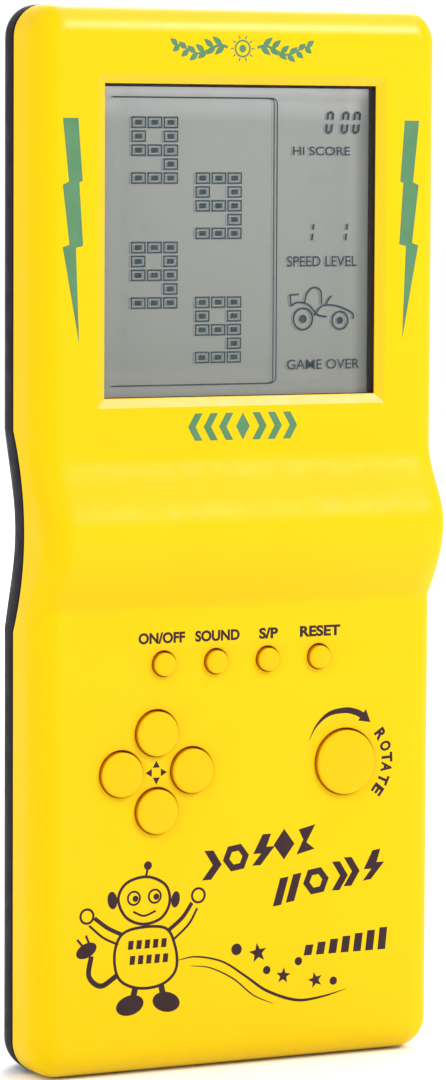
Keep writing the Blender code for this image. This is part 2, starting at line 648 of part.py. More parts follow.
def make_battery_parts():
    plate_thick, spring_length = 0.0004, 0.0042
    low_plate = TRAY_LOW + GAP
    high_plate = TRAY_HIGH - GAP - plate_thick
    spring_low = low_plate + plate_thick + GAP
    make_cell("left_cell", -CELL_X, spring_low + spring_length + GAP, nub_up=True)
    right_low = low_plate + plate_thick + GAP + CELL_NUB
    make_cell("right_cell", CELL_X, right_low, nub_up=False)
    make_spring("left_spring", -CELL_X, spring_low, spring_length)
    right_spring = right_low + CELL_BODY + GAP
    make_spring("right_spring", CELL_X, right_spring, high_plate - GAP - right_spring)

    front, back = CELL_DEPTH - 0.0050, CELL_DEPTH + 0.0050
    box("bridge_contact", (-0.0130, front, low_plate), (0.0130, back, low_plate + plate_thick), "steel")
    for name, x in (("positive_contact", -CELL_X), ("negative_contact", CELL_X)):
        contact = box(name, (x - 0.005, front, high_plate), (x + 0.005, back, high_plate + plate_thick), "steel")
        tab = box(f"{name}_tab", (x - 0.001, 0.0021, high_plate + 0.0001), (x + 0.001, 0.0027, TRAY_HIGH + 0.0025))
        boolean(contact, tab, "UNION")


def make_spring(name, x, low, length):
    """A conical wire spring, its wide end on the contact plate."""
    wire_radius, turns, steps = 0.0003, 3, 10
    wide, narrow = 0.0036, 0.0024
    route = []
    for i in range(turns * steps + 1):
        t = i / (turns * steps)
        angle = 2 * pi * turns * t
        radius = wide + (narrow - wide) * (t if x < 0 else 1 - t)
        z = low + wire_radius + (length - 2 * wire_radius) * t
        route.append((x + radius * cos(angle), y_at(CELL_DEPTH) + radius * sin(angle), z))
    wire(name, route, wire_radius, "steel")


def make_wires():
    board_back = DISPLAY_BOARD_FRONT + DISPLAY_BOARD_THICK + GAP
    for name, sign, slot in (("battery_wire_red", -1, "wire_red"), ("battery_wire_black", 1, "wire_black")):
        x = sign * CELL_X
        points = [Vector((x, y_at(0.0024), TRAY_HIGH + 0.0029)), Vector((x, y_at(0.0026), 0.080)),
                  Vector((x * 1.7, y_at(0.0040), 0.094)), Vector((x * 1.9, y_at(0.0028), 0.108)),
                  Vector((x * 1.9, y_at(board_back + 0.0012), 0.1155)), Vector((x * 1.9, y_at(board_back + 0.0002), 0.1185))]
        wire(name, smooth_route(points, 3), 0.0005, slot)
    for name, sign, slot in (("buzzer_wire_red", -1, "wire_red"), ("buzzer_wire_black", 1, "wire_black")):
        x = sign * 0.0030
        points = [Vector((x, y_at(BUZZER_FRONT - 0.0008), BUZZER_Z)), Vector((x, y_at(0.0080), BUZZER_Z + 0.002)),
                  Vector((x, y_at(0.0040), BUZZER_Z + 0.006)), Vector((x, y_at(board_back + 0.0002), BUZZER_Z + 0.010))]
        wire(name, smooth_route(points, 3), 0.0004, slot)


BUZZER_FRONT = BACK_DEPTH - WALL - 0.0012  # depth of the piezo element's free side


def make_buzzer():
    disc_back = BACK_DEPTH - WALL - GAP
    turned("buzzer_disc", 0.0, BUZZER_Z, cylinder_profile(0.010, disc_back - 0.0003, disc_back), 24, "brass")
    turned("piezo_element", 0.0, BUZZER_Z, cylinder_profile(0.007, BUZZER_FRONT, BUZZER_FRONT + 0.0003), 20, "piezo")


# ---- fasteners ----
def make_screws():
    for name, x, z in case_screw_places():
        head = WEB_END + GAP
        profile = [(0, -0.0058), (CASE_SCREW_SHANK, -0.0050), (CASE_SCREW_SHANK, head), (CASE_SCREW_HEAD, head),
                   (CASE_SCREW_HEAD, head + 0.0011), (0.0014, head + 0.0017), (0, head + 0.0017)]
        turned(f"case_screw_{name}", x, z, profile, 12, "steel")
    boards = [("display_screw", display_screw_places(), DISPLAY_BOARD_FRONT + DISPLAY_BOARD_THICK),
              ("key_screw", KEY_SCREWS, KEY_BOARD_FRONT + KEY_BOARD_THICK)]
    for label, places, board_back in boards:
        for i, (x, z) in enumerate(places):
            head = board_back + GAP
            profile = [(0, -0.0068), (BOARD_SCREW_SHANK, -0.0062), (BOARD_SCREW_SHANK, head), (BOARD_SCREW_HEAD, head),
                       (BOARD_SCREW_HEAD, head + 0.0006), (0.0010, head + 0.0011), (0, head + 0.0011)]
            turned(f"{label}_{i + 1}", x, z, profile, 10, "steel")


def main():
    clear_scene()
    make_front_shell()
    make_back_shell()
    make_battery_door()
    make_display()
    make_buttons()
    make_mats()
    make_key_board()
    make_ribbon_cable()
    make_battery_parts()
    make_buzzer()
    make_wires()
    make_screws()


main()
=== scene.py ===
"""Looks of the handheld LCD game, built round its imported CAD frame.

The game stands on Z = 0, faces -Y, and +X is the player's right. A depth is measured from the parting
plane of the shells, negative towards the front.
"""
import json
from math import cos, pi, radians, sin, sqrt

import bmesh
import bpy
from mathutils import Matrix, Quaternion, Vector


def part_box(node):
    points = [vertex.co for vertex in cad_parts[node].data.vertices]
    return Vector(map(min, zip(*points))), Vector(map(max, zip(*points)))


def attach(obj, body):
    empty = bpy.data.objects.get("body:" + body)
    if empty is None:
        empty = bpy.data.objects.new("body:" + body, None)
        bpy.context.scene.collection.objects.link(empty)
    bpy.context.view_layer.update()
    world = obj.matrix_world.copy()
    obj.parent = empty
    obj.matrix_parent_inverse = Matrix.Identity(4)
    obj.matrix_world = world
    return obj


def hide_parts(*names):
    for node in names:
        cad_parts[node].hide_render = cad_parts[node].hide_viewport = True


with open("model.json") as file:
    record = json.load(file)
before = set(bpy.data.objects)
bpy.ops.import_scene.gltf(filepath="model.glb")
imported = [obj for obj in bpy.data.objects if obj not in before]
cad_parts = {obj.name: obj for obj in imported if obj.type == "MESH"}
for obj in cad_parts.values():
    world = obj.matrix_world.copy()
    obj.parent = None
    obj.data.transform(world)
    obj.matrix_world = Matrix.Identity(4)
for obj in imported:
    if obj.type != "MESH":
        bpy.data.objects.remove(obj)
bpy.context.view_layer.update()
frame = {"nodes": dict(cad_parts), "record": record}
NODES = frame["nodes"]
BODY_OF = {node: body for body, members in frame["record"]["behaviour"]["bodies"].items() for node in members}
MM = 0.001

# ---- the case's own proportions, as in the CAD ----
FACE_DEPTH, BACK_DEPTH, HUMP_RISE = 0.010, 0.014, 0.0055
CORNER, WALL, GAP = 0.0055, 0.0018, 0.0003
FACE_ROUND, BACK_RIM, BACK_SIDE_ROUND, BACK_END_ROUND = 0.005, 0.0008, 0.014, 0.005
PARTING_EDGE = 0.00015  # the small radius at the parting line
WAIST_LOW, WAIST_HIGH = 0.0752, 0.1090
WAIST_MID = (WAIST_LOW + WAIST_HIGH) / 2
HUMP_ABOVE, HUMP_BELOW = 0.0138, 0.0128
PARTING_RISE, SCOOP_DEPTH, SCOOP_HALF = 0.0045, 0.004, 0.016
BEVEL, BEVEL_DEPTH, LIP, LENS_MARGIN = 0.0016, 0.0007, 0.0009, 0.0016
BUTTON_CLEARANCE, CAP_FLANGE = 0.0002, 0.0006
DOOR_EDGE = 0.0123  # the door's lower edge, above its hinge tabs
TAB_X = 0.010  # how far the hinge tabs lie from the middle
PRINT_HEIGHT = 0.00002
PAST_BACK = 0.016  # a depth behind the whole case, where cutters end
PARTING_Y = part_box("back_shell")[1].y - BACK_DEPTH


def middle(node):
    low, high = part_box(node)
    return (low + high) / 2


def span(node):
    """A node's lowest and highest corners, with depths in place of Y."""
    return [Vector((corner.x, corner.y - PARTING_Y, corner.z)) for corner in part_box(node)]


def place_of(node):
    centre = middle(node)
    return centre.x, centre.z


# ---- dimensions read from the frame ----
HALF_WIDTH, _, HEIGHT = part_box("front_shell")[1]
LENS_LOW, LENS_HIGH = span("window_lens")
LCD_LOW, LCD_HIGH = span("lcd_panel")
DOOR_HALF, _, DOOR_TOP = span("battery_door")[1]
WINDOW_HALF = LENS_HIGH.x - LENS_MARGIN
WINDOW_LOW, WINDOW_HIGH = LENS_LOW.z + LENS_MARGIN, LENS_HIGH.z - LENS_MARGIN
BUTTONS = ("up", "down", "left", "right", "rotate", "on_off", "sound", "start_pause", "reset")
CASE_SCREWS = [f"case_screw_{level}_{side}" for level in ("top", "waist", "bottom")
               for side in ("left", "right")]


# ---- materials ----
def srgb(colour):
    """Linear colour and full alpha from 0-255 sRGB values."""
    return [(c / 255 / 12.92) if c <= 10 else ((c / 255 + 0.055) / 1.055) ** 2.4 for c in colour] + [1]


class Shader:
    """A Principled material that is built up with procedural nodes in object space."""

    def __init__(self, name):
        self.material = bpy.data.materials.new(name)
        self.material.use_nodes = True
        self.tree = self.material.node_tree
        self.coordinates = self.node("ShaderNodeTexCoord").outputs["Object"]

    def fill(self, sockets, values):
        """Set each socket, or link it where its value is another node's output."""
        for key, value in values.items():
            if isinstance(value, bpy.types.NodeSocket):
                self.tree.links.new(value, sockets[key])
            else:
                sockets[key].default_value = value

    def node(self, kind, values=None, **settings):
        node = self.tree.nodes.new(kind)
        for key, value in settings.items():
            setattr(node, key, value)
        self.fill(node.inputs, values or {})
        return node

    def surface(self, values):
        self.fill(self.tree.nodes["Principled BSDF"].inputs, values)

    def noise(self, size, detail=2.0):
        """A noise value whose features are about size metres across, or size[i] along each axis."""
        sizes = size if isinstance(size, (tuple, list)) else (size, size, size)
        where = {"Vector": self.coordinates, "Scale": [1 / s for s in sizes]}
        place = self.node("ShaderNodeMapping", where).outputs[0]
        pattern = {"Vector": place, "Scale": 1.0, "Detail": detail}
        return self.node("ShaderNodeTexNoise", pattern).outputs["Fac"]

    def remap(self, value, old_low, old_high, low, high):
        limits = {"From Min": old_low, "From Max": old_high, "To Min": low, "To Max": high}
        return self.node("ShaderNodeMapRange", {"Value": value, **limits}).outputs["Result"]

    def patches(self, size, low, high, detail=2.0):
        """low to high in soft patches; the noise itself mostly lies between 0.3 and 0.7."""
        return self.remap(self.noise(size, detail), 0.3, 0.7, low, high)

    def vary_colour(self, colour, other, size):
        ends = {"Factor": self.patches(size, 0, 1), "A": srgb(colour), "B": srgb(other)}
        self.surface({"Base Color": self.node("ShaderNodeMix", ends, data_type="RGBA").outputs["Result"]})

    def vary_roughness(self, low, high, size):
        self.surface({"Roughness": self.patches(size, low, high, 3.0)})

    def grain(self, size, depth, strength):
        relief = {"Strength": strength, "Distance": depth, "Height": self.noise(size)}
        self.surface({"Normal": self.node("ShaderNodeBump", relief).outputs["Normal"]})


YELLOW = (221, 184, 3), (219, 182, 2)
METAL = {"Metallic": 1.0}

# Sizes are in millimetres. Each row: two colours, the size of their patches (or a size along each axis),
# the roughness (or its lowest and highest value and the size of its patches), the specular level, the
# grain's size, depth and strength, and any other inputs.
LOOKS = {
    "yellow_plastic": (*YELLOW, 18, (0.32, 0.44, 3), 0.12, (0.9, 0.05, 0.22)),
    "yellow_gloss": (*YELLOW, 10, (0.20, 0.28, 3), 0.3, None, {"Specular Tint": (1, 0.5, 1, 1)}),
    "yellow_side_plastic": (*YELLOW, 18, (0.38, 0.50, 3), 0.06, (0.9, 0.05, 0.22)),
    "yellow_rim_plastic": (*YELLOW, 18, (0.32, 0.38, 3), 0.45),
    "yellow_cap_plastic": ((219, 178, 3), (217, 175, 2), 6, (0.28, 0.38, 2), 0.12, (0.7, 0.03, 0.15)),
    # painted shade: the caps' flanks and flanges down in their holes are a darker orange, standing in for the
    # shade in the gap round each cap
    "yellow_flank_painted_shade": ((198, 122, 4), (190, 112, 3), 3, (0.34, 0.46, 2), 0.05),
    "dark_plastic": ((30, 26, 35), (26, 23, 31), 4, (0.44, 0.58, 3), 0.03, (0.3, 0.06, 0.35)),
    "black_plastic": ((34, 17, 10), (26, 13, 9), 4, (0.50, 0.62, 1), 0.05, (0.3, 0.03, 0.2)),
    # printed mask ink, also used as painted shade where the window's walls are in shadow
    "mask_ink_and_painted_shade": ((40, 26, 6), (46, 32, 10), 3, (0.44, 0.56, 1), 0.02),
    "dark_ink": ((52, 34, 38), (56, 40, 44), 3, (0.40, 0.55, 1), 0.08, (0.2, 0.01, 0.2)),
    "green_ink": ((80, 122, 86), (88, 128, 94), 4, (0.40, 0.55, 1), 0.08, (0.2, 0.01, 0.2)),
    "lcd_ink": ((36, 52, 60), (46, 62, 70), 2, (0.30, 0.40, 1), 0.08),
    # painted shadow of the LCD segments, laid on the glass
    "lcd_shadow": ((118, 120, 118), (126, 128, 126), 3, 0.5, 0.05, None, {"Alpha": 0.2}),
    "nickel_steel": ((190, 190, 186), (168, 168, 166), 2, (0.20, 0.42, 0.8), 0.5, (0.4, 0.02, 0.2), METAL),
    "rolled_brass": ((206, 172, 96), (184, 150, 84), 3, (0.25, 0.45, 1), 0.5, None, METAL),
    "piezo_ceramic": ((226, 224, 214), (206, 205, 200), 2, 0.5, 0.5, (0.2, 0.03, 0.3)),
    "green_board": ((38, 96, 54), (28, 78, 44), (1.6, 1.6, 1.6 / 3), (0.35, 0.50, 2), 0.5, (0.8, 0.05, 0.3)),
    "black_epoxy": ((26, 25, 26), (36, 34, 34), 2, (0.15, 0.35, 1), 0.5, (1.5, 0.1, 0.3)),
    "grey_silicone": ((196, 194, 190), (180, 179, 176), 3, (0.50, 0.70, 1), 0.5),
    "conductive_elastomer": ((92, 78, 84), (52, 46, 50), (0.2, 2, 2), 0.6, 0.5, (0.4, 0.03, 0.3)),
    "amber_film": ((206, 152, 72), (146, 96, 52), (0.5, 20, 20), (0.25, 0.40, 2), 0.5),
    "silver_film": ((206, 206, 202), (190, 190, 188), 3, (0.25, 0.40, 1), 0.5, None, {"Metallic": 0.6}),
    "red_pvc": ((190, 40, 36), (168, 34, 32), 2, 0.42, 0.5, (0.5, 0.02, 0.2)),
    "black_pvc": ((36, 35, 38), (48, 47, 50), 2, 0.42, 0.5, (0.5, 0.02, 0.2)),
    "shrink_sleeve": ((40, 48, 74), (54, 62, 88), 2, (0.25, 0.40, 1), 0.5),
    "cell_blue": ((34, 78, 128), (28, 66, 112), 6, (0.24, 0.38, 2), 0.5, (1.2, 0.02, 0.2)),
    "cell_orange": ((214, 128, 44), (200, 114, 38), 6, (0.24, 0.38, 2), 0.5, (1.2, 0.02, 0.2)),
}


def make_material(name, colour, other, patch, roughness, specular, grain=None, inputs=None):
    shader = Shader(name)
    shader.surface({"Specular IOR Level": specular, **(inputs or {})})
    patch = [size * MM for size in patch] if isinstance(patch, tuple) else patch * MM
    shader.vary_colour(colour, other, patch)
    if isinstance(roughness, tuple):
        low, high, size = roughness
        shader.vary_roughness(low, high, size * MM)
    else:
        shader.surface({"Roughness": roughness})
    if grain:
        size, depth, strength = grain
        shader.grain(size * MM, depth * MM, strength)
    return shader.material


def lens_material():
    lens = Shader("clear_acrylic")
    lens.surface({"Base Color": (0.5, 0.52, 0.54, 1), "Alpha": 0.02, "Specular IOR Level": 0.5})
    lens.vary_roughness(0.03, 0.08, 10 * MM)
    return lens.material


def lcd_material():
    """Grey display glass with painted light and shade: paler along its edges and top, darker just above its
    bottom edge, with the faint mottling of the reflector.
    """
    glass = Shader("lcd_grey")
    split = glass.node("ShaderNodeSeparateXYZ", {0: glass.coordinates})
    height = glass.remap(split.outputs["Z"], WINDOW_LOW, WINDOW_HIGH, 0, 1)
    painted_light_ramp = glass.node("ShaderNodeValToRGB", {"Fac": height})
    painted_light_stops = painted_light_ramp.color_ramp.elements
    # painted light and shade: the grey ramps with height, pale at the top edge, darker in a band above the
    # bottom edge and paler again at the bottom rim
    painted_light_stops[0].color, painted_light_stops[1].color = srgb((166, 168, 160)), srgb((232, 232, 234))
    for place, painted_light_grey in ((0.04, (136, 138, 131)), (0.1, (124, 127, 121)), (0.88, (133, 135, 131)),
                        (0.955, (162, 164, 162)), (0.98, (210, 211, 211))):
        painted_light_stops.new(place).color = srgb(painted_light_grey)
    mottle = glass.remap(glass.noise(0.4 * MM, 3.0), 0, 1, 0.94, 1)
    # painted light: the grey is made paler towards both sides, to offset the shade of the window's walls
    aside = glass.node("ShaderNodeMath", {0: split.outputs["X"]}, operation="ABSOLUTE").outputs[0]
    edge = glass.remap(aside, WINDOW_HALF - 5 * MM, WINDOW_HALF, 1, 1.4)
    mottle_and_painted_light = glass.node("ShaderNodeMath", {0: mottle, 1: edge}, operation="MULTIPLY").outputs[0]
    painted_light_grey = glass.node("ShaderNodeVectorMath", {0: painted_light_ramp.outputs["Color"], "Scale": mottle_and_painted_light}, operation="SCALE")
    glass.surface({"Base Color": painted_light_grey.outputs[0], "Specular IOR Level": 0.12})
    glass.vary_roughness(0.26, 0.36, 4 * MM)
    return glass.material


# ---- mesh helpers ----
def y_at(depth):
    return PARTING_Y + depth


def add_object(name, data):
    obj = bpy.data.objects.new(name, data)
    bpy.context.scene.collection.objects.link(obj)
    return obj


def add_mesh(name, bm, smooth=True):
    bmesh.ops.recalc_face_normals(bm, faces=bm.faces)
    mesh = bpy.data.meshes.new(name)
    bm.to_mesh(mesh)
    bm.free()
    obj = add_object(name, mesh)
    if smooth:
        shade(obj)
    return obj


def shade(obj, angle=32):
    obj.data.shade_smooth()
    obj.data.set_sharp_from_angle(angle=radians(angle))


def evaluated(obj):
    """A new mesh of what obj looks like with its modifiers or curve settings."""
    return bpy.data.meshes.new_from_object(obj.evaluated_get(bpy.context.evaluated_depsgraph_get()))


def modify(obj, kind, **settings):
    """Put one modifier on obj and keep only what it makes."""
    modifier = obj.modifiers.new(kind, kind)
    for key, value in settings.items():
        setattr(modifier, key, value)
    mesh = evaluated(obj)
    obj.modifiers.clear()
    obj.data = mesh


def combine(obj, tool, operation):
    modify(obj, "BOOLEAN", operation=operation, object=tool, solver="EXACT")
    bpy.data.objects.remove(tool)


def soften(obj, width, segments=3):
    """Round the sharp edges of a plain solid."""
    modify(obj, "BEVEL", width=width, segments=segments, limit_method="ANGLE", angle_limit=radians(40),
           harden_normals=False)
    shade(obj, 50)


def add_box(bm, low, high):
    """One closed box between two corners whose Y values are depths."""
    corners = [bm.verts.new((x, y_at(y), z)) for x in (low[0], high[0]) for y in (low[1], high[1])
               for z in (low[2], high[2])]
    for face in ((0, 1, 3, 2), (4, 6, 7, 5), (0, 4, 5, 1), (2, 3, 7, 6), (0, 2, 6, 4), (1, 5, 7, 3)):
        bm.faces.new([corners[i] for i in face])


def boxes(name, spans):
    bm = bmesh.new()
    for low, high in spans:
        add_box(bm, low, high)
    return add_mesh(name, bm, smooth=False)


def slab(half, near, far, low, high, x=0.0):
    """The two corners of a box as wide to the left of x as to its right."""
    return (x - half, near, low), (x + half, far, high)


def add_turned(bm, centre, profile, steps, upright=False):
    """A turned solid. profile is (radius, along) points from axis to axis; along is a depth about a
    line parallel to Y, or a height about a line parallel to Z when upright."""
    loops = []
    for radius, along in profile:
        angles = [0.0] if radius == 0 else [2 * pi * i / steps for i in range(steps)]
        if upright:
            ring = [(centre[0] + radius * cos(a), centre[1] + radius * sin(a), along) for a in angles]
        else:
            ring = [(centre[0] + radius * cos(a), y_at(along), centre[1] + radius * sin(a)) for a in angles]
        loops.append([bm.verts.new(p) for p in ring])
    for a, b in zip(loops, loops[1:]):
        for i in range(steps):
            j = (i + 1) % steps
            corners = [a[i % len(a)], a[j % len(a)], b[j % len(b)], b[i % len(b)]]
            bm.faces.new(list(dict.fromkeys(corners)))


def turned(name, centre, profile, steps=64, upright=False):
    bm = bmesh.new()
    add_turned(bm, centre, profile, steps, upright)
    return add_mesh(name, bm)


def cylinder(radius, near, far):
    return [(0, near), (radius, near), (radius, far), (0, far)]


def quarter(x, y, radius_x, radius_y, start, end, steps):
    """Points on an elliptical arc, with angles in degrees."""
    return [(x + radius_x * cos(radians(start + (end - start) * i / steps)),
             y + radius_y * sin(radians(start + (end - start) * i / steps))) for i in range(steps + 1)]


def slot_outline(half, z, radius, steps):
    """A level slot with round ends, whose end centres lie half to the left and right of X = 0."""
    right = quarter(half, z, radius, radius, -90, 90, steps)
    return right + quarter(-half, z, radius, radius, 90, 270, steps)


def circle(x, z, radius, steps):
    return quarter(x, z, radius, radius, 0, 360 - 360 / steps, steps - 1)


def mm(points):
    """Points given in millimetres, in metres."""
    return [tuple(value / 1000 for value in point) for point in points]


def add_prism(bm, outline, near, far):
    """A flat outline of (x, z) points, extruded between two depths."""
    front = [bm.verts.new((x, y_at(near), z)) for x, z in outline]
    back = [bm.verts.new((x, y_at(far), z)) for x, z in outline]
    bm.faces.new(front)
    bm.faces.new(back[::-1])
    for i in range(len(outline)):
        j = (i + 1) % len(outline)
        bm.faces.new([front[i], back[i], back[j], front[j]])


def tube(name, route, radius):
    """A closed round wire along a list of points."""
    curve = bpy.data.curves.new(name, "CURVE")
    curve.dimensions = "3D"
    curve.bevel_depth, curve.bevel_resolution, curve.use_fill_caps = radius, 2, True
    spline = curve.splines.new("POLY")
    spline.points.add(len(route) - 1)
    for point, place in zip(spline.points, route):
        point.co = (*place, 1.0)
    obj = add_object(name, curve)
    mesh = evaluated(obj)
    bpy.data.objects.remove(obj)
    mesh.shade_smooth()
    return add_object(name, mesh)


def finish_piece(obj, material_name, body, nodes=()):
    """Give obj its one material and its place in the frame."""
    obj.data.materials.clear()
    obj.data.materials.append(MATERIALS[material_name])
    for face in obj.data.polygons:
        face.material_index = 0
    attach(obj, body)
    if nodes:
        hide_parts(*nodes)


# ---- case ----
def wave(z, middle_z, half):
    return 0.5 + 0.5 * cos(pi * (z - middle_z) / half) if abs(z - middle_z) < half else 0.0


def front_depth(z):
    if z >= WAIST_MID:
        return FACE_DEPTH + HUMP_RISE * wave(z, WAIST_MID, HUMP_ABOVE)
    return FACE_DEPTH + HUMP_RISE * sqrt(wave(z, WAIST_MID, HUMP_BELOW))


def back_depth(z):
    return BACK_DEPTH - SCOOP_DEPTH * wave(z, WAIST_MID, SCOOP_HALF)


def parting_depth(z):
    half = (WAIST_HIGH - WAIST_LOW) / 2
    return -PARTING_RISE * max(0.0, 1 - ((z - WAIST_MID) / half) ** 2)


def half_ring(side_inset, end_inset, radius, depth_of):
    """The right half of one rounded-rectangle ring, from its lower to its upper end."""
    half, low, high = HALF_WIDTH - side_inset, end_inset, HEIGHT - end_inset
    waist_steps, corner_steps = 64, 10
    turns = [radians(90 * i / corner_steps) for i in range(corner_steps + 1)]
    lower = [(half - radius + radius * sin(a), low + radius - radius * cos(a)) for a in turns]
    waist = [WAIST_LOW + (WAIST_HIGH - WAIST_LOW) * i / waist_steps for i in range(waist_steps + 1)]
    guard = 0.0006  # one row of points just outside each end of the waist
    waist = [WAIST_LOW - guard] + waist + [WAIST_HIGH + guard]
    upper = [(half - radius + radius * sin(a), high - radius + radius * cos(a)) for a in reversed(turns)]
    points = lower + [(half, z) for z in waist] + upper
    return [(x, y_at(depth_of(z)), z) for x, z in points]


def loft(name, half_rings):
    """A closed skin through rings that are mirrored about X = 0, capped at both ends."""
    bm = bmesh.new()
    rings = []
    for half in half_rings:
        right = [bm.verts.new(p) for p in half]
        left = [bm.verts.new((-x, y, z)) for x, y, z in half]
        rings.append((right, left))
    for (right_a, left_a), (right_b, left_b) in zip(rings, rings[1:]):
        loop_a, loop_b = right_a + left_a[::-1], right_b + left_b[::-1]
        for i in range(len(loop_a)):
            j = (i + 1) % len(loop_a)
            bm.faces.new([loop_a[i], loop_a[j], loop_b[j], loop_b[i]])
    for right, left in (rings[0], rings[-1]):
        for i in range(len(right) - 1):
            bm.faces.new([right[i], right[i + 1], left[i + 1], left[i]])
    return add_mesh(name, bm)


def parting_rings(wall, start, outwards):
    """The rings at the parting line: a small radius outside, one plain ring inside."""
    if wall:
        return [half_ring(wall, wall, CORNER - wall, lambda z: parting_depth(z) + start)]
    edge = PARTING_EDGE
    return [half_ring(edge, edge, CORNER - edge, lambda z: parting_depth(z) + start),
            half_ring(0, 0, CORNER, lambda z: parting_depth(z) + start + outwards * edge)]


def front_rings(wall):
    """Rings of the front surface, from the parting line to a support ring just inside the flat face."""
    rings = parting_rings(wall, 0, -1)
    radius, steps = FACE_ROUND - wall, 12
    for i in range(steps + 1):
        angle = radians(90 * i / steps)
        inset = wall + radius * (1 - cos(angle))
        rise = radius * (1 - sin(angle))

        def depth_of(z, rise=rise):
            return -(front_depth(z) - wall - rise)

        rings.append(half_ring(inset, inset, max(CORNER - inset, 0.0006), depth_of))
    support = FACE_ROUND + 0.0003
    rings.append(half_ring(support, support, 0.0004, lambda z: -(front_depth(z) - wall)))
    return rings


def back_rings(wall):
    """Rings of the back surface, from the parting line to a support ring just inside the flat back."""
    rings = parting_rings(wall, GAP, 1)
    end_round = BACK_END_ROUND - wall
    steps = 18
    for i in range(steps + 1):
        angle = radians(90 * i / steps)
        side_inset = wall + (BACK_SIDE_ROUND - wall) * (1 - cos(angle))
        part = sin(angle)
        end_depth = BACK_RIM + (BACK_DEPTH - wall - BACK_RIM) * part
        past = max(0.0, end_depth - (BACK_DEPTH - wall - end_round))
        end_inset = wall + end_round - sqrt(max(0.0, end_round ** 2 - past ** 2))

        def depth_of(z, part=part):
            start = parting_depth(z) + BACK_RIM
            return start + (back_depth(z) - wall - start) * part

        rings.append(half_ring(side_inset, end_inset, CORNER - wall, depth_of))
    support = 0.0004
    rings.append(half_ring(BACK_SIDE_ROUND + support, BACK_END_ROUND + support, CORNER - wall - support,
                           lambda z: back_depth(z) - wall))
    return rings


def cap_radius(name):
    low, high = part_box(f"{name}_button")
    return (high.x - low.x) / 2 - CAP_FLANGE


def make_front_shell():
    obj = loft("front_shell_body", front_rings(WALL)[::-1] + front_rings(0.0))
    posts = bmesh.new()
    root = -FACE_DEPTH + WALL / 2
    for node in CASE_SCREWS:
        add_turned(posts, place_of(node), cylinder(0.0028, root, 0.0010), 24)
    for prefix, back in (("display_screw_", -0.0027), ("key_screw_", -0.0047)):
        for node in [n for n in sorted(NODES) if n.startswith(prefix)]:
            add_turned(posts, place_of(node), cylinder(0.0020, root, back), 24)
    combine(obj, add_mesh("posts", posts), "UNION")
    holes = bmesh.new()
    mouth, widen = 0.00012, 0.00004
    off_x, off_z = 0.00006, 0.00009  # the caps sit a little low in their holes
    for name in BUTTONS:
        radius = cap_radius(name) + BUTTON_CLEARANCE + widen
        flare = [(radius + mouth * (1 - sin(radians(a))), -FACE_DEPTH + mouth * (1 - cos(radians(a))))
                 for a in (0, 30, 60, 90)]
        profile = [(0, -FACE_DEPTH - 0.001), (radius + mouth, -FACE_DEPTH - 0.001)] + flare
        profile += [(radius, -FACE_DEPTH + 2 * WALL), (0, -FACE_DEPTH + 2 * WALL)]
        x, z = place_of(f"{name}_button")
        add_turned(holes, (x + off_x, z + off_z), profile, 72)
    for node in CASE_SCREWS:
        add_turned(holes, place_of(node), cylinder(0.00135, -0.0065, 0.002), 20)
    combine(obj, add_mesh("holes", holes), "DIFFERENCE")
    combine(obj, window_cutter(), "DIFFERENCE")
    seat = LENS_MARGIN + GAP
    combine(obj, boxes("seat", [slab(WINDOW_HALF + seat, -FACE_DEPTH + LIP, -FACE_DEPTH + 2 * WALL,
                                     WINDOW_LOW - seat, WINDOW_HIGH + seat)]), "DIFFERENCE")
    shade(obj)
    finish_piece(obj, "yellow_plastic", "case", ["front_shell"])
    for name in ("yellow_gloss", "yellow_rim_plastic", "yellow_side_plastic"):
        obj.data.materials.append(MATERIALS[name])
    for face in obj.data.polygons:
        if on_bevel(face):
            face.material_index, face.use_smooth = 1, False
        elif on_top_rim(face):
            face.material_index = 2
        elif abs(face.normal.x) > 0.3:
            face.material_index = 3


def on_bevel(face):
    """Whether a face of the front shell belongs to the polished bevel round the window."""
    x, depth, z = face.center.x, face.center.y - PARTING_Y, face.center.z
    inside = abs(x) < WINDOW_HALF + BEVEL and WINDOW_LOW - BEVEL < z < WINDOW_HIGH + BEVEL
    return inside and -FACE_DEPTH + 0.00001 < depth < -FACE_DEPTH + BEVEL_DEPTH + 0.0001


def on_top_rim(face):
    """Whether a face of the front shell turns upwards along the rounded top edge, away from its corners."""
    return face.normal.z > 0.12 and abs(face.normal.x) < 0.2 and face.center.z > HEIGHT - 0.0055


def window_cutter():
    """The window's opening: a shallow bevel with softened edges, then straight walls."""
    slope = BEVEL / BEVEL_DEPTH
    over = 0.0004
    levels = [(BEVEL + slope * over, -FACE_DEPTH - over), (BEVEL, -FACE_DEPTH),
              (0.00012, -FACE_DEPTH + BEVEL_DEPTH), (0.0, -FACE_DEPTH + BEVEL_DEPTH + 0.0001),
              (0.0, -FACE_DEPTH + 2 * WALL)]
    bm = bmesh.new()
    loops = []
    for grow, depth in levels:
        x, low, high = WINDOW_HALF + grow, WINDOW_LOW - grow, WINDOW_HIGH + grow
        corners = ((-x, low), (x, low), (x, high), (-x, high))
        loops.append([bm.verts.new((u, y_at(depth), v)) for u, v in corners])
    for a, b in zip(loops, loops[1:]):
        for i in range(4):
            bm.faces.new([a[i], a[(i + 1) % 4], b[(i + 1) % 4], b[i]])
    bm.faces.new(loops[0])
    bm.faces.new(loops[-1][::-1])
    return add_mesh("window_cut", bm, smooth=False)


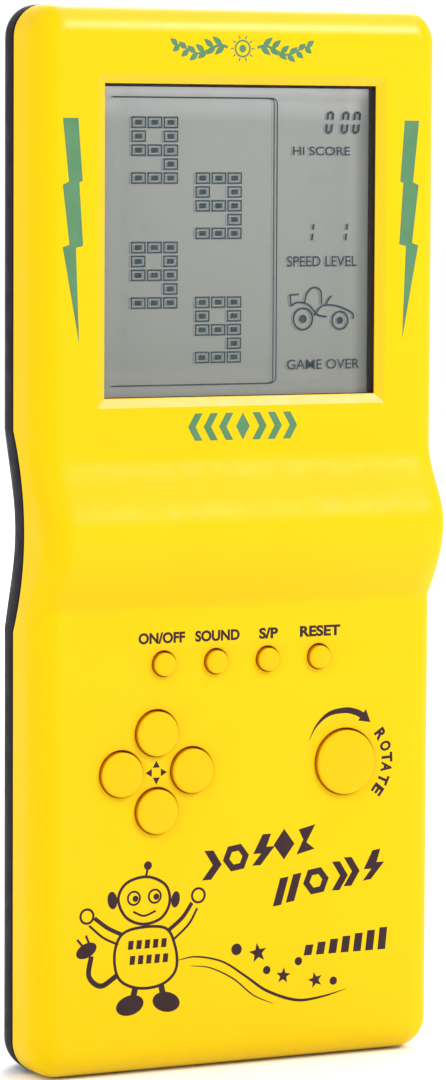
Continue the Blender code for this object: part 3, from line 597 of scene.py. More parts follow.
def make_back_shell():
    obj = loft("back_shell_body", back_rings(WALL)[::-1] + back_rings(0.0))
    posts = bmesh.new()
    for node in CASE_SCREWS:
        add_turned(posts, place_of(node), cylinder(0.0036, 0.0013, BACK_DEPTH), 32)
    posts = add_mesh("posts", posts)
    combine(posts, loft("hull", back_rings(WALL / 3)), "INTERSECT")
    combine(obj, posts, "UNION")

    ledge_top = BACK_DEPTH - 0.0018
    tray_half, tray_low, tray_high, tray_wall = 0.0152, 0.0140, 0.0710, 0.001
    rim = 0.0014  # how far the ledge reaches past the door
    combine(obj, boxes("tray", [slab(tray_half + tray_wall, -0.0031, ledge_top, tray_low - tray_wall,
                                     tray_high + tray_wall)]), "UNION")
    combine(obj, boxes("ledge", [slab(DOOR_HALF + rim, ledge_top - 0.0013, ledge_top, DOOR_EDGE - rim,
                                      DOOR_TOP + rim)]), "UNION")
    combine(obj, boxes("pocket", [slab(tray_half, -0.0023, PAST_BACK, tray_low, tray_high)]), "DIFFERENCE")
    combine(obj, boxes("mouth", [slab(DOOR_HALF + GAP, ledge_top, PAST_BACK, DOOR_EDGE - GAP,
                                      DOOR_TOP + GAP)]), "DIFFERENCE")
    spans = [slab(0.0025, ledge_top - 0.002, ledge_top, DOOR_EDGE - 0.003, tray_low + 0.001, x)
             for x in (-TAB_X, TAB_X)]
    spans += [slab(0.0015, 0.0015, 0.0035, tray_high - 0.001, tray_high + 0.003, x)
              for x in (-0.0074, 0.0074)]
    combine(obj, boxes("slots", spans), "DIFFERENCE")
    combine(obj, sound_slots(middle("buzzer_disc").z), "DIFFERENCE")

    bores = bmesh.new()
    for node in CASE_SCREWS:
        profile = [(0, 0.0), (0.0015, 0.0), (0.0015, 0.0035), (0.0026, 0.0035), (0.0026, PAST_BACK),
                   (0, PAST_BACK)]
        add_turned(bores, place_of(node), profile, 40)
    combine(obj, add_mesh("bores", bores), "DIFFERENCE")
    shade(obj)
    finish_piece(obj, "dark_plastic", "case", ["back_shell"])


def sound_slots(buzzer_z):
    """Three round-ended slots over the buzzer, as one cutter."""
    bm = bmesh.new()
    for row in (-1, 0, 1):
        outline = slot_outline(0.0044, buzzer_z + 0.0035 * row, 0.0006, 8)
        add_prism(bm, outline, BACK_DEPTH - 2 * WALL, BACK_DEPTH + 0.001)
    return add_mesh("sound_slots", bm)


def make_battery_door():
    """The door with five grip grooves and an arrow cut in its face, its latch slits and two hinge tabs."""
    inner = BACK_DEPTH - 0.0015
    obj = boxes("battery_door_panel", [slab(DOOR_HALF, inner, BACK_DEPTH, DOOR_EDGE, DOOR_TOP)])
    soften(obj, 0.00025)
    grip = bmesh.new()
    for i in range(5):
        outline = slot_outline(0.0052, DOOR_TOP - 0.0048 - 0.0014 * i, 0.00035, 6)
        add_prism(grip, outline, BACK_DEPTH - 0.0004, BACK_DEPTH + 0.001)
    for x in (-0.0075, 0.0075):
        add_box(grip, *slab(0.0004, inner - 0.001, PAST_BACK, DOOR_TOP - 0.012, DOOR_TOP + 0.001, x))
    arrow_z = DOOR_TOP - 0.0165
    arrow = [(-0.0030, arrow_z + 0.0014), (0.0, arrow_z - 0.0022), (0.0030, arrow_z + 0.0014)]
    add_prism(grip, arrow, BACK_DEPTH - 0.0005, BACK_DEPTH + 0.001)
    combine(obj, add_mesh("grip", grip, smooth=False), "DIFFERENCE")
    for x in (-TAB_X, TAB_X):
        tab = slab(0.002, inner - 0.0012, inner - 0.0004, DOOR_EDGE - 0.0018, DOOR_EDGE + 0.0012, x)
        combine(obj, boxes("tab", [tab]), "UNION")
        neck = slab(0.0018, inner - 0.0010, inner + 0.0005, DOOR_EDGE + 0.0004, DOOR_EDGE + 0.0011, x)
        combine(obj, boxes("neck", [neck]), "UNION")
    shade(obj)
    finish_piece(obj, "dark_plastic", "door", ["battery_door"])


def make_screws():
    """Case screws with a domed head and a cross recess, deep in their holes."""
    head, radius, shank = 0.0038, 0.0023, 0.00105
    dome = [(r, head + 0.0010 + 0.0007 * sqrt(max(0.0, 1 - (r / radius) ** 2)))
            for r in (radius, 0.0021, 0.0017, 0.0011, 0.0005)]
    profile = [(0, -0.0058), (shank, -0.0050), (shank, head), (radius, head)] + dome + [(0, head + 0.0017)]
    for node in CASE_SCREWS:
        obj = turned(f"{node}_steel", place_of(node), profile, 40)
        x, z = place_of(node)
        for name, half, reach in (("slot_a", 0.0014, 0.00028), ("slot_b", 0.00028, 0.0014)):
            arm = slab(half, head + 0.0008, head + 0.003, z - reach, z + reach, x)
            combine(obj, boxes(name, [arm]), "DIFFERENCE")
        shade(obj)
        finish_piece(obj, "nickel_steel", "case", [node])


# ---- buttons ----
def make_buttons():
    for name in BUTTONS:
        node = f"{name}_button"
        top, back = [corner.y for corner in span(node)]
        radius = cap_radius(name)
        flange_front = back - 0.0008
        edge = 0.00045
        crown = 0.00010 + 0.02 * radius
        crest = [(radius - edge) * i / 8 for i in range(1, 8)]
        profile = [(0, top)] + [(r, top + crown * (r / (radius - edge)) ** 2) for r in crest]
        profile += [(radius - edge + edge * sin(radians(a)), top + crown + edge * (1 - cos(radians(a))))
                    for a in (12, 24, 36, 48, 60, 72, 84, 90)]
        profile += [(radius, flange_front), (radius + CAP_FLANGE, flange_front),
                    (radius + CAP_FLANGE, back), (0, back)]
        obj = turned(f"{name}_cap", place_of(node), profile, 72)
        finish_piece(obj, "yellow_cap_plastic", BODY_OF[node], [node])
        # painted shade: the faces of the cap behind the front face take the darker orange flank colour
        obj.data.materials.append(MATERIALS["yellow_flank_painted_shade"])
        for face in obj.data.polygons:
            if face.center.y - PARTING_Y > -FACE_DEPTH - 0.0006:
                face.material_index = 1


# ---- display ----
def make_display():
    """The LCD glass, the lens, and a dark printed mask under the lens, which also paints the shade of the
    window's walls and a thin shadow line under the window's top.
    """
    glass = boxes("lcd_glass_plate", [(LCD_LOW, LCD_HIGH)])
    step = boxes("ledge", [((LCD_LOW.x - 0.001, LCD_LOW.y + 0.001, LCD_LOW.z - 0.001),
                            (LCD_HIGH.x + 0.001, LCD_HIGH.y + 0.001, LCD_LOW.z + 0.003))])
    combine(glass, step, "DIFFERENCE")
    soften(glass, 0.0001, 2)
    finish_piece(glass, "lcd_grey", "case", ["lcd_panel"])

    lens = boxes("window_sheet", [(LENS_LOW, LENS_HIGH)])
    soften(lens, 0.00012, 2)
    finish_piece(lens, "clear_acrylic", "case", ["window_lens"])

    # the mask is print that also stands in for the shade inside the window's walls
    back = LENS_HIGH.y + 0.00002
    mask_with_painted_shade = boxes("lens_mask_and_painted_shade", [((LENS_LOW.x, back, LENS_LOW.z), (LENS_HIGH.x, back + 0.00003, LENS_HIGH.z))])
    # painted shadow: the opening stops 0.5 mm below the window's top, so a thin dark strip shows there as the
    # shadow line of the top edge
    opening = boxes("mask_opening", [slab(WINDOW_HALF, back - 0.001, back + 0.001, WINDOW_LOW,
                                          WINDOW_HIGH - 0.0005)])
    combine(mask_with_painted_shade, opening, "DIFFERENCE")
    finish_piece(mask_with_painted_shade, "mask_ink_and_painted_shade", "case")


def make_lcd_ink():
    """Everything that the display shows, and a painted shadow of it: a faint copy, shifted left and down, in
    place of its soft shadow on the reflector.
    """
    drawing = Drawing()
    surface = LCD_LOW.y
    left, right = -WINDOW_HALF + 0.0027, 0.0081
    low, high = WINDOW_LOW + 0.0019, WINDOW_HIGH - 0.0022
    drawing.playfield(left, low, right, high)
    columns, rows = 10, 20
    pitch_x, pitch_z = 0.0030, (high - low - 0.0018) / rows
    first_x, first_z = left + 0.0005, high - 0.0009
    digit = ("###", "#.#", "###", "..#", "###")
    for column, row in ((1, 1), (5, 5), (1, 10), (5, 14)):
        for j, line in enumerate(digit):
            for i, mark in enumerate(line):
                if mark == "#" and column + i < columns:
                    x = first_x + pitch_x * (column + i)
                    z = first_z - pitch_z * (row + j)
                    drawing.brick(x, z - 0.84 * pitch_z, x + 0.91 * pitch_x, z)
    for x in (0.0172, 0.0202, 0.0224):
        drawing.seven_segment("0", x, 0.1588, 0.0014, 0.0038)
    for x in (0.0134, 0.0199):
        drawing.seven_segment("1", x, 0.1404, 0.0016, 0.0033)
    drawing.words("HI SCORE", 0.0111, 0.1551, 0.0221, 0.1566, 0.012)
    drawing.words("SPEED LEVEL", 0.0101, 0.1362, 0.0236, 0.1380, 0.012)
    drawing.words("GAME OVER", 0.0102, 0.1187, 0.0242, 0.1204, 0.008)
    drawing.kart(0.0105, 0.1253, 0.0126)
    # painted shadow: a faint copy of the segments, shifted left and down, stands in for their shadow on the
    # reflector
    painted_shadow = drawing.as_piece("lcd_painted_shadow", surface - 0.000006, surface - 0.000002, shift=(-0.00042, -0.00008))
    finish_piece(painted_shadow, "lcd_shadow", "case")
    ink = drawing.as_piece("lcd_segments", surface - 0.00003, surface - 0.000012)
    finish_piece(ink, "lcd_ink", "case")


# ---- printing ----
def smooth_points(points, steps=10, closed=False):
    """Points on a Catmull-Rom curve through (x, z, width) points."""
    points = [Vector(p) for p in points]
    if closed:
        ends = [points[-1]] + points + [points[0], points[1]]
    else:
        ends = [points[0] * 2 - points[1]] + points + [points[-1] * 2 - points[-2]]
    route = []
    for p0, p1, p2, p3 in zip(ends, ends[1:], ends[2:], ends[3:]):
        for i in range(steps):
            t = i / steps
            route.append(0.5 * (2 * p1 + (p2 - p0) * t + (2 * p0 - 5 * p1 + 4 * p2 - p3) * t * t
                                + (3 * p1 - p0 - 3 * p2 + p3) * t ** 3))
    return route if closed else route + [points[-1]]


class Drawing:
    """Flat figures in the X-Z plane, which become one thin printed piece."""

    def __init__(self):
        self.outlines = []  # closed simple polygons of (x, z)
        self.strips = []  # quads that share their ends, as two parallel rows of points
        self.meshes = []  # (vertices, faces) of lettering

    def polygon(self, points):
        self.outlines.append(list(points))

    def box(self, x0, z0, x1, z1):
        self.polygon([(x0, z0), (x1, z0), (x1, z1), (x0, z1)])

    def outline(self, x0, z0, x1, z1, thick):
        rows = [[(x0 + inset, z0 + inset), (x1 - inset, z0 + inset), (x1 - inset, z1 - inset),
                 (x0 + inset, z1 - inset)] for inset in (0, thick)]
        self.strips.append((*rows, True))

    def brick(self, x0, z0, x1, z1):
        self.outline(x0, z0, x1, z1, 0.00026)
        inset_x, inset_z = 0.27 * (x1 - x0), 0.28 * (z1 - z0)
        self.box(x0 + inset_x, z0 + inset_z, x1 - inset_x, z1 - inset_z)

    def playfield(self, x0, z0, x1, z1):
        """A line frame that is open on the left and doubled on the right."""
        for inset, thick, radius in ((0.0, 0.00022, 0.0011), (0.00062, 0.00016, 0.0006)):
            trim = 0.0001 if inset else 0.0
            right, top, bottom = x1 - inset, z1 - trim, z0 + trim
            start = right - radius - 0.0003 if inset else x0
            upper = quarter(right - radius, top - radius, radius, radius, 90, 0, 6)
            lower = quarter(right - radius, bottom + radius, radius, radius, 0, -90, 6)
            route = [(start, top)] + upper + lower + [(start, bottom)]
            self.stroke([(x, z, thick) for x, z in route], 1)

    def disc(self, x, z, radius, steps=28):
        self.polygon(circle(x, z, radius, steps))

    def oval(self, x, z, radius_x, radius_z, tilt=0):
        turn, steps = radians(tilt), 28
        flat = quarter(0, 0, radius_x, radius_z, 0, 360 - 360 / steps, steps - 1)
        c, s = cos(turn), sin(turn)
        self.polygon([(x + u * c - v * s, z + u * s + v * c) for u, v in flat])

    def ring(self, x, z, radius, thick):
        self.strips.append((circle(x, z, radius, 32), circle(x, z, radius - thick, 32), True))

    def star(self, x, z, radius, turn=0):
        points = []
        for i in range(10):
            reach = radius if i % 2 == 0 else 0.42 * radius
            angle = radians(90 + turn + 36 * i)
            points.append((x + reach * cos(angle), z + reach * sin(angle)))
        self.polygon(points)

    def stroke(self, points, steps=10, closed=False):
        """A brush stroke through (x, z, width) points."""
        route = smooth_points(points, steps, closed)
        one, two = [], []
        count = len(route)
        for i, point in enumerate(route):
            after = route[(i + 1) % count] if closed else route[min(i + 1, count - 1)]
            before = route[i - 1] if closed else route[max(i - 1, 0)]
            along = Vector((after.x - before.x, after.y - before.y)).normalized()
            half = max(point.z, 0.00004) / 2
            one.append((point.x - along.y * half, point.y + along.x * half))
            two.append((point.x + along.y * half, point.y - along.x * half))
        self.strips.append((one, two, closed))

    def seven_segment(self, digit, x, z, wide, tall):
        lean, bar = 0.12, 0.115 * tall
        half, gap = tall / 2, 0.06 * tall
        level = {"a": tall, "d": 0}  # heights of the bars that lie flat
        upright = {"b": (1, half + 0.1 * tall, tall - gap), "c": (1, gap, half - gap),
                   "e": (0, gap, half - gap), "f": (0, half + 0.1 * tall, tall - gap)}
        for key in {"0": "abcdef", "1": "bc"}[digit]:
            if key in upright:
                side, low, high = upright[key]
                edge, inner = side * wide, -bar if side else bar
                points = [(edge, low), (edge + inner, low + 0.3 * bar), (edge + inner, high - 0.3 * bar),
                          (edge, high)]
            else:
                v = level[key]
                inner = -bar if v else bar
                left, right = 0.18 * wide, 0.82 * wide
                points = [(left, v), (right, v), (right - 0.4 * bar, v + inner),
                          (left + 0.4 * bar, v + inner)]
            self.polygon([(x + u + lean * v, z + v) for u, v in points])

    def words(self, text, x0, z0, x1, z1, weight=0.0):
        """Plain lettering stretched to fill a box."""
        self.lettering(text, weight, lambda u, v: (x0 + (x1 - x0) * u, z0 + (z1 - z0) * v))

    def letter_at(self, text, x, z, wide, tall, turn):
        c, s = cos(radians(turn)), sin(radians(turn))

        def place(u, v):
            a, b = (u - 0.5) * wide, (v - 0.5) * tall
            return x + a * c - b * s, z + a * s + b * c

        self.lettering(text, 0.045, place)

    def lettering(self, text, weight, place):
        curve = bpy.data.curves.new("lettering", "FONT")
        curve.body = text
        curve.size = 1.0
        curve.offset = weight
        curve.resolution_u = 6
        obj = add_object("lettering", curve)
        mesh = evaluated(obj)
        bpy.data.objects.remove(obj)
        xs = [v.co.x for v in mesh.vertices]
        ys = [v.co.y for v in mesh.vertices]
        flat = [place((v.co.x - min(xs)) / (max(xs) - min(xs)), (v.co.y - min(ys)) / (max(ys) - min(ys)))
                for v in mesh.vertices]
        self.meshes.append((flat, [tuple(face.vertices) for face in mesh.polygons]))

    def kart(self, x, z, wide):
        """A small generic racing car, in outline."""
        u = wide / 12

        def line(steps, *pairs):
            self.stroke([(x + a * u, z + b * u, 0.3 * u) for a, b in pairs], steps)

        for axle, tyre, hub in ((2.6, 1.9, 0.7), (9.4, 1.6, 0.6)):
            self.ring(x + axle * u, z + tyre * u, tyre * u, 0.32 * u)
            self.disc(x + axle * u, z + tyre * u, hub * u, 16)
        line(6, (0.4, 4.0), (1.6, 4.6), (3.6, 4.2), (5.2, 2.6), (7.0, 2.2))
        line(6, (4.6, 2.4), (6.2, 4.0), (9.0, 3.9), (11.6, 2.8), (11.8, 1.8))
        line(6, (2.8, 4.4), (3.4, 6.2), (4.6, 7.0), (5.8, 6.4), (6.0, 4.2))
        line(4, (6.8, 4.2), (7.4, 5.2), (7.9, 5.6))
        line(2, (0.2, 5.8), (1.8, 5.9))
        line(2, (0.2, 5.9), (0.4, 4.0))

    def as_piece(self, name, near, far, shift=(0.0, 0.0)):
        """One mesh of thin closed plates between two depths."""
        bm = bmesh.new()
        step = 0.0000004  # overlapping figures never share a plane
        for i, points in enumerate(self.outlines):
            add_prism(bm, [(x + shift[0], z + shift[1]) for x, z in points], near - step * (i % 7), far)
        for i, (one, two, closed) in enumerate(self.strips):
            self.add_strip(bm, one, two, closed, near - step * (7.5 + i % 6), far, shift)
        for flat, faces in self.meshes:
            self.add_sheet(bm, flat, faces, near, far, shift)
        return add_mesh(name, bm, smooth=False)

    @staticmethod
    def add_strip(bm, one, two, closed, near, far, shift):
        rows = [[bm.verts.new((x + shift[0], y_at(depth), z + shift[1])) for x, z in row]
                for row, depth in ((one, near), (two, near), (two, far), (one, far))]
        count = len(one)
        for i in range(count if closed else count - 1):
            j = (i + 1) % count
            for a, b in zip(rows, rows[1:] + rows[:1]):
                bm.faces.new([a[i], a[j], b[j], b[i]])
        if not closed:
            bm.faces.new([row[0] for row in rows])
            bm.faces.new([row[-1] for row in reversed(rows)])

    @staticmethod
    def add_sheet(bm, flat, faces, near, far, shift):
        front = [bm.verts.new((x + shift[0], y_at(near), z + shift[1])) for x, z in flat]
        back = [bm.verts.new((x + shift[0], y_at(far), z + shift[1])) for x, z in flat]
        edges = {}
        for face in faces:
            bm.faces.new([front[i] for i in face])
            bm.faces.new([back[i] for i in reversed(face)])
            for a, b in zip(face, face[1:] + face[:1]):
                edges[(a, b)] = True
        for a, b in edges:
            if (b, a) not in edges:
                bm.faces.new([front[b], front[a], back[a], back[b]])


def printed(drawing, name, material_name):
    near = -FACE_DEPTH - PRINT_HEIGHT
    obj = drawing.as_piece(name, near, -FACE_DEPTH - 0.000004)
    finish_piece(obj, material_name, "case")


def print_bolts():
    """A tall lightning bolt on each side of the window."""
    bolt = [(33.5, 161.1), (30.7, 161.1), (29.9, 150.7), (30.5, 150.5), (29.8, 140.0), (31.1, 139.7),
            (30.5, 123.8), (33.5, 139.8), (32.3, 140.2), (33.5, 150.1), (32.4, 150.6)]
    drawing = Drawing()
    for side in (-1, 1):
        drawing.polygon(mm((side * x, z) for x, z in bolt))
    printed(drawing, "bolt_prints", "green_ink")


def print_crest():
    """A small sun between two pen flourishes, above the window."""
    drawing = Drawing()
    centre_z = 0.1729
    sun_x = -0.0004
    drawing.ring(sun_x, centre_z, 0.0015, 0.00030)
    drawing.disc(sun_x, centre_z, 0.00065, 16)
    for i in range(10):
        angle = 2 * pi * i / 10
        inner, outer = 0.0017, 0.0023
        drawing.stroke([(sun_x + inner * cos(angle), centre_z + inner * sin(angle), 0.0003),
                        (sun_x + outer * cos(angle), centre_z + outer * sin(angle), 0.0001)], 2)
    for side in (-1, 1):
        sprig(drawing, side, sun_x, centre_z)
    printed(drawing, "crest_print", "green_ink")


def sprig(drawing, side, sun_x, centre_z):
    """A waving stem with leaves on both sides, from the sun outwards."""
    reach, count = 0.0100, 6

    def stem(t):
        return (sun_x + side * (0.0028 + reach * t), centre_z - 0.0002 + 0.0007 * sin(2.4 * pi * t + 0.6))

    drawing.stroke([(*stem(i / 12), 0.0005 - 0.00025 * i / 12) for i in range(13)], 3)
    for i in range(count):
        for up in (-1, 1):
            x, z = stem((i + 0.35 + 0.25 * (up > 0)) / count)
            length, half = 0.0024 - 0.00014 * i, 0.00052
            lean = radians(38)
            along = Vector((side * cos(lean), up * sin(lean)))
            across = Vector((-along.y, along.x))
            leaf = ((0, 0), (0.25, 0.8), (0.5, 1), (0.8, 0.5), (1, 0), (0.8, -0.5), (0.5, -1), (0.25, -0.8))
            points = [along * length * t + across * half * w for t, w in leaf]
            drawing.polygon([(x + p.x, z + p.y) for p in points])


def print_badge():
    """A band of heavy wedges that point away from a diamond, under the window."""
    drawing = Drawing()
    low, high = 0.1072, 0.1118
    mid = (low + high) / 2
    reach = 0.0013
    drawing.polygon([(-reach, mid), (0, low), (reach, mid), (0, high)])
    for side in (-1, 1):
        for i in range(3):
            x = side * (0.0018 + 0.0029 * i)
            tip, thick = side * 0.0013, side * 0.0014
            drawing.polygon([(x, low), (x + thick, low), (x + thick + tip, mid), (x + thick, high), (x, high),
                             (x + tip, mid)])
    printed(drawing, "badge_print", "green_ink")


def print_labels():
    """Plain control labels over the function buttons and round the large one, and the pad's arrows."""
    drawing = Drawing()
    for text, x0, x1 in (("ON/OFF", -19.4, -10.7), ("SOUND", -8.8, -0.4), ("S/P", 3.3, 6.9),
                         ("RESET", 11.1, 18.9)):
        drawing.words(text, x0 / 1000, 0.0732, x1 / 1000, 0.0751, 0.04)
    pad_x = (middle("left_button").x + middle("right_button").x) / 2
    pad_z = (middle("up_button").z + middle("down_button").z) / 2
    for turn in range(4):
        c, s = cos(turn * pi / 2), sin(turn * pi / 2)
        arrow = [(0.00085, -0.00066), (0.0020, 0.0), (0.00085, 0.00066)]
        drawing.polygon([(pad_x + a * c - b * s, pad_z + a * s + b * c) for a, b in arrow])
    x, z = place_of("rotate_button")
    radius = 0.0083
    for letter, angle in zip("ROTATE", (32.5, 16.5, 2.5, -9.5, -24.5, -38.5)):
        turn = radians(angle)
        drawing.letter_at(letter, x + radius * cos(turn), z + radius * sin(turn), 0.0017, 0.0021, angle - 90)
    shaft = [(13.0, 55.3, 0.05), (14.4, 57.8, 0.35), (16.8, 59.7, 0.75), (19.9, 60.2, 1.0),
             (22.0, 59.8, 1.1), (23.4, 59.1, 1.15)]
    drawing.stroke(mm(shaft), 8)
    drawing.polygon([(0.0240, 0.0602), (0.0249, 0.0579), (0.0225, 0.0583)])
    printed(drawing, "control_prints", "dark_ink")


def print_marks():
    """Two climbing rows of bold shapes and a rising row of bars, in place of a title."""
    drawing = Drawing()
    thick = 1.25

    def place(x, z, pairs):
        return mm((x + a, z + b) for a, b in pairs)

    # first row: chevron, hexagon, zigzag, diamond, wedge
    drawing.polygon(place(-7.3, 32.5, [(0, 0), (1.7, 0), (3.7, 2.5), (2.1, 5.0), (0.4, 5.0), (2.0, 2.5)]))
    hexagon(drawing, -0.9, 36.0, 2.5, thick)
    drawing.polygon(place(2.2, 34.4, [(0, 0), (1.6, 0), (4.3, 3.1), (2.7, 3.1), (3.6, 5.3), (2.0, 5.3),
                                      (0.2, 2.0), (1.7, 2.0)]))
    drawing.polygon(place(8.3, 37.7, [(-2.0, 0), (0, -2.6), (2.0, 0), (0, 2.7)]))
    drawing.polygon(place(10.7, 35.8, [(0, 0), (3.5, 0.8), (1.9, 2.0), (3.6, 5.0), (0.4, 4.3), (1.3, 2.5)]))
    # second row: two leaning bars, hexagon, double chevron, zigzag
    for x, z in ((6.2, 27.1), (8.7, 27.6)):
        drawing.polygon(place(x, z, [(0, 0), (1.6, 0.2), (3.0, 5.0), (1.4, 4.8)]))
    hexagon(drawing, 14.5, 31.0, 2.5, thick)
    for x, z in ((17.6, 29.1), (19.9, 29.7)):
        drawing.polygon(place(x, z, [(0, 0), (1.5, 0), (3.1, 2.5), (1.5, 5.0), (0, 5.0), (1.6, 2.5)]))
    drawing.polygon(place(23.6, 30.4, [(0, 0), (1.6, 0.2), (4.2, 3.1), (2.7, 3.1), (3.4, 5.4), (1.9, 5.2),
                                       (0.2, 2.0), (1.7, 2.0)]))
    for i in range(7):
        x, tall = 12.2 + 2.4 * i, 1.8 + 0.34 * i
        drawing.polygon(place(x, 18.2, [(0, 0), (1.5, 0), (1.9, tall), (0.4, tall)]))
    printed(drawing, "title_prints", "dark_ink")


def hexagon(drawing, x, z, radius, thick):
    """A six-sided ring, given in millimetres."""
    turns = [radians(60 * i + 8) for i in range(6)]
    rings = [mm((x + reach * cos(a), z + reach * sin(a)) for a in turns)
             for reach in (radius, radius - thick)]
    drawing.strips.append((*rings, True))


def print_trail():
    """Stars and dots over two swooshes that start at the robot's body."""
    drawing = Drawing()
    for x, z, radius, turn in ((3.4, 19.3, 1.75, 8), (8.3, 15.0, 1.45, -6), (14.5, 13.8, 1.45, 14)):
        drawing.star(x / 1000, z / 1000, radius / 1000, turn)
    for x, z, radius in ((-0.7, 20.2, 1.0), (5.1, 16.2, 0.72), (11.2, 17.3, 0.72), (18.0, 13.4, 0.72)):
        drawing.disc(x / 1000, z / 1000, radius / 1000)
    upper = [(-12.1, 19.1, 0.1), (-8.4, 19.5, 0.28), (-3.4, 18.3, 0.34), (1.0, 15.5, 0.42),
             (5.2, 12.6, 0.5), (10.8, 10.6, 0.5), (15.7, 10.8, 0.36), (20.5, 11.8, 0.08)]
    lower = [(-9.3, 18.0, 0.1), (-5.7, 17.4, 0.22), (-1.3, 15.2, 0.26), (2.5, 12.1, 0.24),
             (6.4, 10.3, 0.08)]
    for figure in (upper, lower):
        drawing.stroke(mm(figure))
    printed(drawing, "trail_prints", "dark_ink")


def print_robot():
    """A friendly toy robot in outline, of the builder's own design."""
    drawing = Drawing()

    def stroke(*points, closed=False, width=0.5):
        drawing.stroke(mm((x, z, width) for x, z in points), 8, closed)

    def oval(x, z, a, b, tilt=0):
        drawing.oval(x / 1000, z / 1000, a / 1000, b / 1000, tilt)

    # head with ears and an antenna
    stroke((-21.6, 27.2), (-23.0, 30.4), (-21.4, 33.0), (-17.6, 33.8), (-14.2, 32.2), (-13.4, 29.2),
           (-15.0, 26.6), (-18.4, 25.8), closed=True)
    stroke((-17.9, 33.7), (-17.6, 35.0), width=0.4)
    drawing.disc(-0.0175, 0.0357, 0.00075, 18)
    oval(-24.1, 30.2, 0.9, 1.5, 8)
    oval(-12.3, 29.6, 0.8, 1.4, -8)
    for x, z in ((-0.0201, 0.0303), (-0.0162, 0.0304)):
        drawing.ring(x, z, 0.0013, 0.00035)
        drawing.disc(x + 0.0003, z - 0.0001, 0.00055, 16)
    stroke((-20.2, 28.0), (-18.2, 27.2), (-16.0, 27.9), width=0.36)
    # body with two rows of panel bars
    stroke((-21.4, 24.8), (-23.6, 21.6), (-23.0, 17.0), (-19.6, 15.0), (-15.0, 15.2), (-12.2, 17.6),
           (-12.4, 21.8), (-14.6, 25.0), closed=True)
    for row, z in enumerate((21.6, 19.0)):
        for i in range(5):
            x = -21.2 + 1.55 * i + 0.3 * row
            drawing.polygon(mm(((x, z), (x + 0.95, z), (x + 1.1, z + 1.5), (x + 0.15, z + 1.5))))
    # arms and hands
    stroke((-22.2, 24.2), (-25.0, 25.6), (-27.4, 27.4), width=0.7)
    stroke((-23.0, 22.6), (-25.8, 24.0), (-28.4, 26.2), width=0.4)
    drawing.ring(-0.0288, 0.0278, 0.0014, 0.0004)
    stroke((-13.6, 24.4), (-11.0, 26.4), (-9.2, 28.8), width=0.7)
    stroke((-12.6, 22.8), (-9.8, 25.2), (-8.2, 27.8), width=0.4)
    drawing.ring(-0.0080, 0.0300, 0.0014, 0.0004)
    # legs and heavy boots
    stroke((-19.8, 15.0), (-20.2, 13.4), width=1.1)
    stroke((-15.0, 15.2), (-14.6, 13.6), width=1.1)
    oval(-20.8, 12.1, 2.6, 1.7, 12)
    oval(-14.0, 12.2, 2.6, 1.7, -14)
    # a curling cable with a heavy plug at its end
    stroke((-23.2, 17.4), (-26.2, 15.8), (-28.4, 17.6), (-28.0, 21.0), width=0.9)
    oval(-28.9, 22.0, 2.0, 1.2, 24)
    stroke((-29.6, 22.8), (-30.6, 24.0), width=0.4)
    stroke((-28.4, 23.2), (-29.0, 24.6), width=0.4)
    printed(drawing, "robot_print", "dark_ink")


# ---- power parts, seen when the door is open ----
def make_cells():
    for name in ("left_cell", "right_cell"):
        low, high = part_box(name)
        nub_up = name == "left_cell"
        centre = (middle(name).x, middle(name).y)
        radius, nub = (high.x - low.x) / 2, 0.0015
        body_low, body_high = (low.z, high.z - nub) if nub_up else (low.z + nub, high.z)
        rim = 0.0005
        shape = [(0, body_low + 0.0002), (radius - 0.0016, body_low + 0.0002), (radius - 0.0013, body_low)]
        shape += quarter(radius - rim, body_low + rim, rim, rim, -90, 0, 4)
        shape += quarter(radius - rim, body_high - rim, rim, rim, 0, 90, 4)
        shape += [(radius - 0.0014, body_high), (radius - 0.0017, body_high - 0.0003),
                  (0.0031, body_high - 0.0003), (0.0029, body_high + 0.0002)]
        shape += quarter(0.0025, body_high + nub - 0.0004, 0.0004, 0.0004, 0, 90, 3) + [(0, body_high + nub)]
        if not nub_up:
            shape = [(r, body_low + body_high - z) for r, z in shape]
        obj = turned(f"{name}_can", centre, shape, 56, upright=True)
        finish_piece(obj, "cell_blue", "case", [name])
        for extra in ("cell_orange", "nickel_steel"):
            obj.data.materials.append(MATERIALS[extra])
        band = body_high - 0.014 if nub_up else body_low + 0.014
        for face in obj.data.polygons:
            if from_axis(face.center, centre) < radius - rim * 1.1:
                face.material_index = 2
            elif (face.center.z > band) == nub_up:
                face.material_index = 1
        split_band(obj, centre, radius, body_low, body_high, band, nub_up)


def from_axis(point, centre):
    return sqrt((point.x - centre[0]) ** 2 + (point.y - centre[1]) ** 2)


def split_band(obj, centre, radius, body_low, body_high, band, nub_up):
    """Cut the wrap at its colour change, so that the band has its own faces."""
    bm = bmesh.new()
    bm.from_mesh(obj.data)
    geometry = bm.verts[:] + bm.edges[:] + bm.faces[:]
    bmesh.ops.bisect_plane(bm, geom=geometry, plane_co=(0, 0, band), plane_no=(0, 0, 1))
    for face in bm.faces:
        centre_z = face.calc_center_median().z
        on_wrap = all(abs(from_axis(v.co, centre) - radius) < 1e-5 for v in face.verts)
        if on_wrap and body_low < centre_z < body_high:
            face.material_index = 1 if (centre_z > band) == nub_up else 0
    bm.to_mesh(obj.data)
    bm.free()
    shade(obj, 40)


def make_springs_and_contacts():
    for name in ("left_spring", "right_spring"):
        low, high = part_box(name)
        centre = middle(name)
        wide_low = name == "left_spring"
        wire, turns, steps = 0.0003, 4, 28
        route = []
        for i in range(turns * steps + 1):
            t = i / (turns * steps)
            angle = 2 * pi * turns * t
            radius = 0.0036 - 0.0012 * (t if wide_low else 1 - t)
            rise = min(1.0, max(0.0, (t - 0.12) / 0.76))
            z = low.z + wire + (high.z - low.z - 2 * wire) * rise
            route.append((centre.x + radius * cos(angle), PARTING_Y + 0.0051 + radius * sin(angle), z))
        obj = tube(f"{name}_wire", route, wire)
        finish_piece(obj, "nickel_steel", "case", [name])


